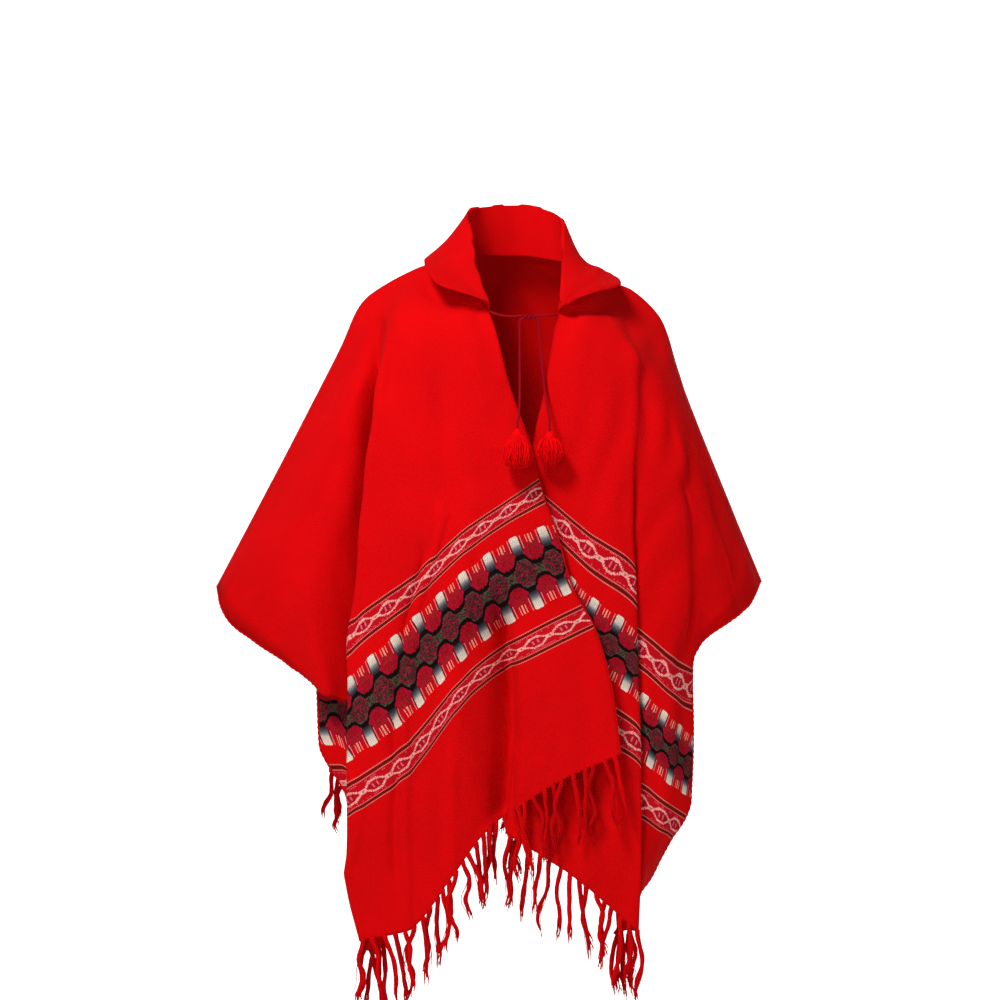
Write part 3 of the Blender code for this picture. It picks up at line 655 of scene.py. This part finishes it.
def hem_line(points, normals):
    """Middle of the wall along the hem, a little above it, and the way that the cloth falls there."""
    fall = unit(points[-1] - points[-3])
    return points[-1] + normals[-1] * MM - fall * 2 * MM, fall


fringes = {}
for name, points, normals, length, drift, seed in (         # length in m
        ("fringe_right_front", right, right_normals, 0.096, 0.07, 21),
        ("fringe_left_front", left, left_normals, 0.096, -0.02, 22),
        ("fringe_back", back, back_normals, 0.080, 0.0, 23)):
    hem, hang = hem_line(points, normals)
    fringes[name] = fringe_lines(hem, hang, length, drift, seed)
    print(name, fringes[name][0].shape[0] // YARNS, "bundles")

# %% Plies of a cord
def plies(route, radius, pitch, count):
    """Lines that wind round a route: route + radius * ring direction at the angle walk / pitch turns."""
    tangent = unit(np.gradient(route, axis=0))
    angle = 2 * np.pi * (run_lengths(route) / pitch + np.arange(count)[:, None] / count)
    return route + radius * rings(tangent, angle)


# %% [markdown]
# ## Tassels
# A tassel is a skein folded over the cord and bound below the fold. The bound head is a small turned shape,
# and the skirt is a few hundred yarns that come out of the head, swell outwards and hang. How far they are
# from the middle line is charted by how far down they are, so one tassel can be slim and one round.

# %% Skirt and head
SKIRT_YARNS = 340
SKIRT_STATIONS = 12
BINDING_HEIGHT = -10.5 * MM
BINDING_REACH = 2.5 * MM
BINDING_DEPTH = 0.9 * MM
BINDING_TURN = 1.1 * MM         # from one turn of its thread to the next


def skirt_lines(top, radius, length, seed, profile):
    """Yarn lines: top + radius * profile(t) outwards and length * t down, with a small wander.

    The profile's last number is how much shorter the outer yarns are, which rounds the skirt's foot.
    """
    draw = np.random.default_rng(seed).uniform
    one_each = (SKIRT_YARNS, 1)
    t = np.linspace(0, 1, SKIRT_STATIONS)
    angle = draw(0, 2 * np.pi, one_each) + draw(-0.7, 0.7, one_each) * t
    depth = np.sqrt(draw(0.10, 1, one_each))
    out = radius * depth * np.interp(t, profile[0], profile[1]) * draw(0.92, 1.08, one_each)
    fall = length * (1.0 - profile[2] * depth**2) * draw(0.92, 1.0, one_each) * t
    wander = 0.7 * MM * np.sin(t * draw(6, 20, one_each) + draw(0, 6, one_each)) * t
    lines = np.stack([out * np.cos(angle) + wander, out * np.sin(angle) * 0.85, -fall], axis=-1) + top
    radii = (0.85 - 0.45 * t**3) * MM * draw(0.8, 1.2, one_each)
    return lines, radii, draw(0, 1, SKIRT_YARNS)


def head_surface(top):
    """A turned head: circles of their own radius and height, drawn in and ribbed by the binding's turns."""
    radii, heights = np.array(HEAD).T * MM
    knots = np.linspace(0, 1, len(HEAD))
    level = np.linspace(0, 1, 40)
    height = np.interp(level, knots, heights)
    bound = np.exp(-((height - BINDING_HEIGHT) / BINDING_REACH) ** 2)
    ribs = 0.22 * MM * np.cos(2 * np.pi * height / BINDING_TURN)
    radius = (smooth(knots, radii, level) + (ribs - BINDING_DEPTH) * bound)[:, None]
    angle = np.linspace(0, 2 * np.pi, 33)
    tall = np.broadcast_to(height[:, None], (40, 33))
    return np.stack([radius * np.cos(angle), radius * np.sin(angle), tall], axis=-1) + top


# radius and height of each circle of a head, in mm
HEAD = ((0.3, 0.0), (2.4, -0.6), (4.6, -3.0), (6.4, -6.5), (6.6, -9.0), (7.4, -11.5), (2.0, -12.0))
# places down a skirt, share of its radius there, and how much shorter its outer yarns are
SLIM = ((0, 0.15, 0.4, 0.7, 1.0), (0.40, 0.62, 0.90, 1.0, 0.90), 0.10)
ROUND = ((0, 0.15, 0.4, 0.65, 1.0), (0.42, 0.74, 0.98, 1.0, 0.62), 0.24)
HEAD_BELOW_CORD = np.array((0.0, 0.0, -0.8 * MM))
SKIRT_BELOW_TOP = np.array((0.0, 0.0, -8 * MM))
skirts = {}
for tassel, route, radius, length, seed, profile in (
        ("tassel_of_left_cord", left_route, 17.0 * MM, 41 * MM, 31, SLIM),
        ("tassel_of_right_cord", right_route, 17.5 * MM, 37 * MM, 32, ROUND)):
    top = route[-1] + HEAD_BELOW_CORD
    skirts[tassel] = (top, *skirt_lines(top + SKIRT_BELOW_TOP, radius, length, seed, profile))
print("tassels", sorted(skirts))

# %% [markdown]
# ## Colour and nodes
# Wool is dyed deeply, so its red has almost no green or blue in it. Colours are written as sRGB hex values,
# as on a screen, and one function turns them to the linear values that a shader needs. One small function
# adds a node, sets it up and feeds its sockets.

# %% Helpers for materials
def linear(code):
    """sRGB hex to linear: c / 12.92 below 0.04045, otherwise ((c + 0.055) / 1.055) ^ 2.4."""
    c = np.array([int(code[i:i + 2], 16) for i in (1, 3, 5)]) / 255
    c = np.where(c <= 0.04045, c / 12.92, ((c + 0.055) / 1.055) ** 2.4)
    return (*c, 1.0)


def add(tree, kind, *feeds, out=0, **settings):
    """Add a node, give it its settings, feed its inputs in order with sockets or values, return an output.

    A second word in kind is the node's operation.
    """
    kind, *operation = kind.split()
    node = tree.nodes.new("ShaderNode" + kind)
    for word in operation:
        node.operation = word
    for key, value in settings.items():
        setattr(node, key, value)
    for socket, feed in zip(node.inputs, feeds):
        if isinstance(feed, bpy.types.NodeSocket):
            tree.links.new(feed, socket)
        elif feed is not None:
            socket.default_value = feed
    return node.outputs[out]


def shader(name, roughness, sheen, sheen_colour, specular=0.25):
    """A new material, its tree and its Principled shader, with the values that are the same all over."""
    material = bpy.data.materials.new(name)
    material.use_nodes = True
    principled = material.node_tree.nodes["Principled BSDF"]
    for socket, value in (("Roughness", roughness), ("Sheen Weight", sheen), ("Sheen Roughness", 0.45),
                          ("Sheen Tint", linear(sheen_colour)), ("Specular IOR Level", specular)):
        principled.inputs[socket].default_value = value
    return material, material.node_tree, principled


TO_COLOURS = (None,) * 5        # a Mix node's inputs between its factor and its two colours
print("a mid grey on screen is", round(float(linear("#808080")[0]), 3), "to a shader")


# %% [markdown]
# ## Woven bands
# Coloured weft makes the bands: between red stretches lie a chain of lozenges, a tall band of pegs and
# arches, and the chain again. An image of it would blur up close, so the bands are worked out from the
# cloth's own map. The map is first rounded to whole threads, which gives every slanted line the small
# steps that weaving gives it. One repeat is folded about the middle of a peg and about the middle of the
# band, so a quarter of the motif draws it all, and each outline is a curve: height over distance from peg.

# %% Charted outlines of one repeat
WOOL_RED = "#D80004"
REPEAT = 36.8               # mm from one peg to the next
HALF = REPEAT / 2
THREAD = REPEAT / 34        # mm of cloth for one step across
PICK = 1.12                 # mm for one step down
CHAIN_BAND = (300.0, 331.0)             # mm below the shoulder line; its twin lies below the tall band
TALL_BAND = (349.0, 437.0)
CHAIN_MIDDLE = sum(CHAIN_BAND) / 2
TALL_MIDDLE = sum(TALL_BAND) / 2
TALL_HALF = (TALL_BAND[1] - TALL_BAND[0]) / 2
# outlines of the quarter motif: (mm across from the middle of a peg or of a join, mm from the band's middle)
WAVE = ((0, 18.6), (4.9, 18.2), (7.2, 15.8), (9.2, 12.0), (11.4, 9.6), (14.0, 8.2), (18.4, 7.8))
LOZENGE = ((0, 0.9), (4.6, 1.2), (7.0, 2.3), (9.5, 3.8), (12.0, 5.0), (15.0, 5.7), (18.4, 5.8))
# dyes: of a peg by mm from the band's middle, and of a speckled ground by the share of its threads
PEG = ((0, "#0A0A0E"), (20, "#0C0C10"), (23.5, "#26292E"), (27, "#4C5258"), (30.5, "#84868A"),
       (33.5, "#D6C6B4"), (44, "#F2E4D4"))
GROUND = ((0, "#4C4A36"), (0.48, "#363022"), (0.72, "#1E1412"), (0.88, "#641828"))
MEDALLION = ((0, "#86142C"), (0.30, "#4A1020"), (0.54, "#3A3422"), (0.78, "#200E0E"), (0.90, "#A41C34"))
print("one repeat has", round(REPEAT / THREAD), "threads and", round(2 * TALL_HALF / PICK), "picks")

# %% Reading a chart
def outline_height(node, feed, outline):
    """Height of a charted outline over the distance in feed, both in mm, by a curve of straight pieces."""
    height = node("FloatCurve", 1.0, node("Math DIVIDE", feed, HALF))
    points = height.node.mapping.curves[0].points
    places = [(at / HALF, value / TALL_HALF) for at, value in outline]
    for place in places[1:-1]:
        points.new(*place)
    points[0].location = places[0]
    points[-1].location = places[-1]
    for point in points:
        point.handle_type = "VECTOR"
    height.node.mapping.update()
    return node("Math MULTIPLY", height, TALL_HALF)


def dyed(node, feed, dyes, width, interpolation):
    """Dyes at their places from 0 to width, blended or kept apart."""
    colour = node("ValToRGB", node("Math DIVIDE", feed, width))
    ramp = colour.node.color_ramp
    ramp.interpolation = interpolation
    for number, (at, code) in enumerate(dyes):
        stop = ramp.elements[number] if number < 2 else ramp.elements.new(at / width)
        stop.position = at / width
        stop.color = linear(code)
    return colour


# %% Colour of the bands
TESTS = {"below": "LESS_THAN", "above": "GREATER_THAN", "near": "COMPARE"}


def banded_colour(node, across, down, slant, peg_at, lozenge_at):
    """Colour of the cloth at its own map, and how much coloured weft floats on it.

    peg_at and lozenge_at are places of a peg and of a lozenge in mm from the front edge, and slant is how
    far the warp leans to the edge, in mm across for one mm down.
    """
    coats = [linear(WOOL_RED)]

    def mask(*tests):
        """1 where every test holds: (value, word, numbers) is a test, and so is a socket or a strength."""
        joined = None
        for test in tests:
            if isinstance(test, tuple):
                value, word, *numbers = test
                test = node("Math " + TESTS[word], value, *numbers)
            joined = test if joined is None else node("Math MULTIPLY", joined, test)
        return joined

    def coat(dye, *tests):
        """Lay a dye, a hex value or a socket, over the coats before it where every test holds."""
        dye = linear(dye) if isinstance(dye, str) else dye
        coats.append(node("Mix", mask(*tests), *TO_COLOURS, coats[-1], dye, data_type="RGBA", out=2))

    def whole(value, step):
        """The middle of the whole thread or pick that a distance lies in."""
        return node("Math ADD", node("Math SNAP", value, step), step / 2)

    # folded distances: x is mm from the middle of a peg and chain_x from where two lozenges meet, d is mm
    # from the middle of the tall band and t from the middle of the nearer chain
    leaning = node("Math MULTIPLY", node("Math SUBTRACT", down, TALL_MIDDLE), slant)
    straight = node("Math ADD", across, leaning)
    thread = whole(node("Math SUBTRACT", straight, peg_at), THREAD)
    coarse = whole(node("Math SUBTRACT", straight, lozenge_at), 2 * THREAD)
    pick = whole(down, PICK)
    x = node("Math PINGPONG", thread, HALF)
    chain_x = node("Math SUBTRACT", HALF, node("Math PINGPONG", coarse, HALF))
    d, to_upper, to_lower = [node("Math ABSOLUTE", node("Math SUBTRACT", pick, middle))
                             for middle in (TALL_MIDDLE, CHAIN_MIDDLE, 2 * TALL_MIDDLE - CHAIN_MIDDLE)]
    t = node("Math MINIMUM", to_upper, to_lower)
    odd, even_pick = [mask((node("Math FLOORED_MODULO", value, 2 * step), "above", step))
                      for value, step in ((thread, THREAD), (pick, PICK))]
    checker = mask((odd, "near", even_pick, 0.5))
    speckle = node("TexWhiteNoise", node("CombineXYZ", thread, pick, 0.0))
    rare = mask((speckle, "above", 0.6))

    # chains: ground, a twisted dark line between two fine ones, dots, lozenges and what fills them
    coat("#C40818", (t, "below", 10.5))
    for middle, half, dye, crossing, crossing_dye in ((13.0, 1.7, "#480606", checker, "#8C0E0E"),
                                                      (15.3, 0.57, "#D83430", odd, "#EC8A78"),
                                                      (10.7, 0.57, "#D42C30", odd, "#EA7E74")):
        coat(dye, (t, "near", middle, half))
        coat(crossing_dye, (t, "near", middle, half), crossing)
    coat("#E8606A", (t, "near", 8.7, 0.6), odd, rare)
    inner = node("Math SUBTRACT", t, outline_height(node, chain_x, LOZENGE))
    coat("#BE0A20", (inner, "below", -1.4))
    coat("#880A18", (inner, "below", -1.4), odd, (speckle, "above", 0.45))
    coat("#DC6068", (t, "below", 2.6), (chain_x, "near", 14.6, 0.6))
    coat("#F4A59E", (inner, "near", 0.0, 1.25))
    coat("#DC5458", (inner, "near", 0.0, 1.25), checker, rare)
    coat("#9A7458", (t, "below", 1.0), (chain_x, "below", 1.3))

    # tall band: arches that fade into the red, dashes and dots in them, and lines beside the pegs
    beyond = node("Math SUBTRACT", d, outline_height(node, x, WAVE))
    tall = mask((d, "below", TALL_HALF))
    arch = mask(tall, (beyond, "above", 0.0))
    faded = mask(arch, node("MapRange", d, 41.0, 26.0, 0.0, 1.0))
    coat("#B40C24", faded)
    coat("#900A18", faded, (x, "above", 11.6), odd)
    coat("#6E0C16", faded, (x, "above", 9.5), checker, rare)
    coat("#8E0C28", faded, (x, "near", 9.2, 1.6), checker)
    dash = mask(arch, node("Math MAXIMUM", mask((x, "above", 17.4), (d, "near", 36.0, 5.6)),
                           mask((x, "near", 14.6, 0.55), (d, "near", 36.6, 4.6))))
    coat("#EE6E60", dash)
    coat("#F6A890", dash, even_pick)
    coat("#7A2A20", arch, (d, "near", 27.0, 4.0), (x, "above", 11.8), odd, even_pick)
    coat("#E87A74", arch, (x, "near", 8.1, 0.55), (d, "near", 34.6, 7.6))
    coat("#7A0C16", arch, (x, "near", 6.5, 0.6), (d, "near", 31.0, 8.0))

    # pegs run from black to cream, and end in a point
    point = node("Math MAXIMUM", node("Math SUBTRACT", d, 41.6), 0.0)
    peg = mask(tall, (node("Math ADD", x, point), "below", 5.6), (d, "above", 17.0))
    coat(dyed(node, d, PEG, TALL_HALF, "LINEAR"), peg)
    coat("#4C4A4C", peg, even_pick, checker, 0.45)

    # middle: speckled ground, medallions, and the black wave over their edges
    inside = mask(tall, (beyond, "below", 0.0))
    coat(dyed(node, speckle, GROUND, 1.0, "CONSTANT"), inside)
    ellipse = node("Math ADD", *[node("Math POWER", node("Math DIVIDE", value, half), 2.0)
                                 for value, half in ((x, 12.8), (d, 13.4))])
    medallion = mask(inside, (ellipse, "below", 1.0))
    coat(dyed(node, speckle, MEDALLION, 1.0, "CONSTANT"), medallion)
    coat("#2E2A1E", medallion, (ellipse, "near", 0.42, 0.14), checker)
    coat("#72142A", medallion, (ellipse, "above", 0.74), odd)
    coat("#120608", tall, (beyond, "near", 0.0, 2.6))
    bare = node("Math MAXIMUM", node("Math MULTIPLY", arch, 0.4), node("Math MAXIMUM", peg, inside))
    return coats[-1], bare


# %% [markdown]
# ## Red wool cloth
# The cloth is a weft-faced twill: its fine diagonal ribs are about two millimetres apart, and brushing has
# raised a soft nap that lightens it where it is seen edge on. The ribs and the nap are too fine to model, so
# they are bump. The ribs also make the red a little lighter on their crests and darker in their grooves,
# which is painted shade, and the nap adds an uneven tone. Sheen gives the pale edge, and slow noise the
# uneven dye of yarn spun by hand.

# %% Cloth material
RIB_PITCH = 2.3             # mm between the twill's ribs
RIB_SLANT = 0.8             # mm across for one mm down
PICK_PITCH = 1.15           # mm between two rows of weft


def cloth_material(name, bands=None):
    """Twill ribs, sin(across + slant * down), under a nap of noise, over banded or plain red."""
    material, tree, principled = shader(name, 0.92, 0.06, "#FF1414", 0.08)
    node = partial(add, tree)
    place = node("SeparateXYZ", node("UVMap", uv_map="cloth_metres")).node
    across, down = [node("Math MULTIPLY", part, 1000.0) for part in place.outputs[:2]]
    colour, bare = banded_colour(node, across, down, *bands) if bands else (linear(WOOL_RED), None)
    in_mm = node("CombineXYZ", across, down, 0.0)
    slanting = node("Math ADD", across, node("Math MULTIPLY", down, RIB_SLANT))
    rib = node("Math SINE", node("Math MULTIPLY", slanting, 2 * np.pi / RIB_PITCH))
    pick = node("Math SINE", node("Math MULTIPLY", down, 2 * np.pi / PICK_PITCH))
    nap = node("TexNoise", in_mm, None, 0.55, 4.0, 0.6)
    slow = node("TexNoise", in_mm, None, 0.012, 3.0, 0.5)
    from_nap = node("Math MULTIPLY", node("Math SUBTRACT", nap, 0.5), 0.5)
    from_dye = node("Math MULTIPLY", node("Math SUBTRACT", slow, 0.5), 0.35)
    # painted shade of the ribs, lighter on their crests and darker in their grooves, plus uneven tone from
    # nap and dye
    shade = node("Math ADD", node("Math MULTIPLY", rib, 0.055), from_nap)
    shade = node("Math ADD", node("Math ADD", shade, from_dye), 1.0)
    # the cloth's colour with that painted rib shade and uneven tone laid on
    painted_rib_shade_and_dye = node("Mix", 1.0, *TO_COLOURS, colour, node("CombineColor", shade, shade, shade),
                data_type="RGBA", blend_type="MULTIPLY", out=2)
    tree.links.new(painted_rib_shade_and_dye, principled.inputs["Base Color"])
    relief = node("Math ADD", node("Math MULTIPLY", rib, 0.42), node("Math MULTIPLY", nap, 0.9))
    relief = node("Math ADD", relief, node("Math MULTIPLY", pick, 0.12))
    if bands:
        relief = node("Math ADD", relief, node("Math MULTIPLY", bare, 0.5))
    tree.links.new(node("Bump", 0.55, 0.45 * MM, None, relief), principled.inputs["Normal"])
    return material


# slant, place of a peg and place of a lozenge in each panel
right_wool = cloth_material("woven_wool_right_front", (0.1, 12.5, 4.0))
left_wool = cloth_material("woven_wool_left_front", (0.4, 24.0, 22.7))
back_wool = cloth_material("woven_wool_back", (0.0, HALF, 0.0))
collar_wool = cloth_material("woven_wool_collar")
print("nodes in the right front's cloth", len(right_wool.node_tree.nodes))

# %% [markdown]
# ## Yarn and cord
# Fringe and tassels are soft spun wool. A spun yarn is a shallow helix of fibres, so a slanting wave along
# the map of each tube gives the spin, and a number kept on each bundle makes some darker than others. The
# tie is a harder twist, dyed a cooler crimson.

# %% Yarn materials
def yarn_material(name, code, dark_code, sheen, pitch):
    """Slanting fibre lines, the sine of 2 * turn + walk / pitch turns, between light and dark of one dye."""
    material, tree, principled = shader(name, 0.88, sheen, "#FF2020", 0.06)
    node = partial(add, tree)
    turn, walk = node("SeparateXYZ", node("UVMap", uv_map="yarn_metres")).node.outputs[:2]
    walk = node("Math MULTIPLY", walk, 1000.0 / pitch)
    fibres = node("Math ADD", node("Math MULTIPLY", turn, 2.0), walk)
    spin = node("Math SINE", node("Math MULTIPLY", fibres, 2 * np.pi))
    fuzz = node("TexNoise", node("TexCoord", out=3), None, 900.0, 3.0, 0.6)
    tint = node("Attribute", out=2, attribute_name="yarn_tint")
    mix = node("Math ADD", node("Math MULTIPLY", spin, 0.16), node("Math MULTIPLY", fuzz, 0.7))
    mix = node("Math ADD", mix, node("Math MULTIPLY", node("Math SUBTRACT", tint, 0.5), 0.5))
    colour = node("Mix", node("Clamp", mix, 0.0, 1.0), *TO_COLOURS, linear(code), linear(dark_code),
                  data_type="RGBA", out=2)
    tree.links.new(colour, principled.inputs["Base Color"])
    relief = node("Math ADD", node("Math MULTIPLY", spin, 0.5), fuzz)
    tree.links.new(node("Bump", 0.5, 0.4 * MM, None, relief), principled.inputs["Normal"])
    return material


fringe_yarn = yarn_material("spun_wool_fringe", "#DC0004", "#A0020A", 0.02, 3.2)
tassel_yarn = yarn_material("spun_wool_tassel", "#F40006", "#D00004", 0.10, 3.0)
cord_yarn = yarn_material("hard_twist_crimson_cord", "#B0081C", "#700816", 0.02, 1.6)
print("yarns", fringe_yarn.name, tassel_yarn.name, cord_yarn.name)

# %% [markdown]
# ## Making the pieces
# The tie comes first. Each cord is three plies, and its tassel hangs on it.

# %% Make the tie
PLIES = 3
PLY_RADIUS = 0.8 * MM
PLY_OFFSET = 0.72 * MM          # from the middle of the cord to the middle of a ply
PLY_PITCH = 6 * MM
EVEN_TINT = 0.5                 # neither the light nor the dark of a dye
for node, route, tassel in (("tie_cord_right", right_route, "tassel_of_right_cord"),
                            ("tie_cord_left", left_route, "tassel_of_left_cord")):
    lines = plies(route, PLY_OFFSET, PLY_PITCH, PLIES)
    cord = tubes_object(node + "_plies", lines, np.full(lines.shape[:2], PLY_RADIUS), 8, cord_yarn,
                        np.full(PLIES, EVEN_TINT))
    top, lines, radii, tint = skirts[tassel]
    skirt = tubes_object(tassel + "_skirt", lines, radii, 6, tassel_yarn, tint)
    head = grid_object(tassel + "_head", head_surface(top), False, tassel_yarn)
    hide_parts(node)
    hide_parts(tassel)
    length = float(run_lengths(route)[-1])
    print(node, "ends in", tassel)

# %% [markdown]
# The panels are thin walls on the surfaces laid above. The selvedge of a hand-woven cloth is often finished
# with a tube of its own, worked over the edge stitch by stitch, which shows as a beaded cord. It is a
# tube whose radius swells at each stitch.

# %% Make the cloth
CLOTH_WALL = 2 * MM


def edge_tube(name, line, normals, radius, bead, pitch):
    """Tube along the middle of the wall's edge: radius * (1 + bead * (|sin(pi * walk / pitch)| - 1/2))."""
    walked = run_lengths(line)
    middle = line + normals * (CLOTH_WALL / 2)
    stations = np.linspace(0, walked[-1], int(walked[-1] / (1.6 * MM)))
    fine = smooth(walked, middle, stations)
    beaded = radius * (1 + bead * (np.abs(np.sin(np.pi * stations / pitch)) - 0.5))
    return tubes_object(name, fine[None], beaded[None], 8, fringe_yarn, np.array([EVEN_TINT]))


for node, points, flip, cloth, wool in (("right_front", right, True, right_cloth, right_wool),
                                        ("left_front", left, False, left_cloth, left_wool),
                                        ("back", back, True, back_cloth, back_wool),
                                        ("collar", collar, True, collar_cloth, collar_wool)):
    grid_object(node + "_cloth", points, flip, wool, cloth, CLOTH_WALL)
SELVEDGE = (1.5 * MM, 0.5, 7 * MM)         # radius, height of a bead as a share of it, bead to bead
SLIT_EDGE = (1.25 * MM, 0.2, 3.4 * MM)
BELOW_COLLAR = 28                          # thread line at which the collar's seam ends
selvedges = {"right_front": [], "left_front": [], "back": []}
for node, name, points, normals, first, column, edge in (
        ("right_front", "right_front_selvedge", right, right_normals, 0, -1, SELVEDGE),
        ("right_front", "right_front_slit_edge", right, right_normals, BELOW_COLLAR, 0, SLIT_EDGE),
        ("left_front", "left_front_selvedge", left, left_normals, 0, -1, SELVEDGE),
        ("left_front", "left_front_slit_edge", left, left_normals, BELOW_COLLAR, 0, SLIT_EDGE),
        ("back", "back_right_selvedge", back, back_normals, 0, 0, SELVEDGE),
        ("back", "back_left_selvedge", back, back_normals, 0, -1, SELVEDGE)):
    selvedges[node].append(edge_tube(name, points[first:, column], normals[first:, column], *edge))

# %% [markdown]
# ## Fringe
# The fringe is made last, and the solid model's own fringe, panels and collar are hidden.

for node, (lines, radii, tint) in fringes.items():
    tubes_object(node + "_yarns", lines, radii, 5, fringe_yarn, tint)
    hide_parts(node)
for node, points in (("right_front", right), ("left_front", left), ("back", back)):
    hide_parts(node)
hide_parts("collar")

# %% [markdown]
# ## Floor and light
# A clothing studio has a white floor that curves up into a white wall, far enough away to catch no shadow.
# One light high at the front left shapes the folds. A softer one fills the right side and a low one the
# hem, each too weak to fill a fold. The wall has a light of its own, so that it turns white without
# washing out the wool, and a dim white world keeps the deepest shadows red.

# %% Floor and wall
FLOOR = -1.45               # m, well below the fringe
FLOOR_FRONT, FLOOR_BACK = -5.0, 4.0
BEND = 1.2                  # radius of the curve from floor to wall
WALL_HEIGHT = 4.0
HALF_WIDTH = 6.0
STATIONS = 40
walk = np.linspace(0, 1, STATIONS)          # half of it is floor, a quarter the bend and a quarter the wall
turn = np.pi / 2 * np.clip((walk - 0.5) / 0.25, 0, 1)
floor_y = FLOOR_FRONT + walk / 0.5 * (FLOOR_BACK - FLOOR_FRONT)
profile_y = np.where(walk < 0.5, floor_y, FLOOR_BACK + BEND * np.sin(turn))
profile_z = FLOOR + BEND * (1 - np.cos(turn)) + np.maximum(walk - 0.75, 0) / 0.25 * WALL_HEIGHT
floor_points = np.stack(np.broadcast_arrays(np.array([-HALF_WIDTH, HALF_WIDTH]), profile_y[:, None],
                                            profile_z[:, None]), axis=-1)
corner = np.arange(2 * STATIONS).reshape(STATIONS, 2)
faces = np.stack([corner[:-1, 0], corner[:-1, 1], corner[1:, 1], corner[1:, 0]], axis=-1)
mesh = new_mesh("sweep", floor_points, faces.ravel(), np.arange(0, faces.size, 4))
floor_material, _, floor_shader = shader("painted_white_sweep", 0.9, 0.0, "#FFFFFF", 0.1)
floor_shader.inputs["Base Color"].default_value = linear("#F7F7F7")
floor_shader.inputs["Emission Color"].default_value = linear("#FFFFFF")
floor_shader.inputs["Emission Strength"].default_value = 0.08
mesh.materials.append(floor_material)
in_scene("sweep", mesh)
print("floor at", FLOOR, "m")

# %% Lights
def area_light(name, place, target, size, watts):
    """A square softbox that faces its target."""
    lamp = bpy.data.lights.new(name, "AREA")
    lamp.size = size
    lamp.energy = watts
    thing = in_scene(name, lamp)
    thing.location = place
    thing.rotation_euler = (Vector(target) - Vector(place)).to_track_quat("-Z", "Y").to_euler()


area_light("key", (-0.82, -1.46, 1.5), (0, 0, -0.2), 0.6, 50)
area_light("fill", (2.4, -1.0, 0.3), (0, 0, -0.35), 0.9, 12.5)
area_light("low_fill", (-0.8, -2.2, -0.45), (0, 0, -0.7), 0.8, 9.5)
area_light("wall_light", (0, 1.9, 1.6), (0, 5.5, 0.2), 2.5, 200)
world = bpy.data.worlds.new("white_room")
world.use_nodes = True
background = world.node_tree.nodes["Background"]
background.inputs["Color"].default_value = linear("#FFFFFF")
background.inputs["Strength"].default_value = 0.12
bpy.context.scene.world = world
bpy.context.scene.view_settings.view_transform = "Standard"
print("lights", len(bpy.data.lights))
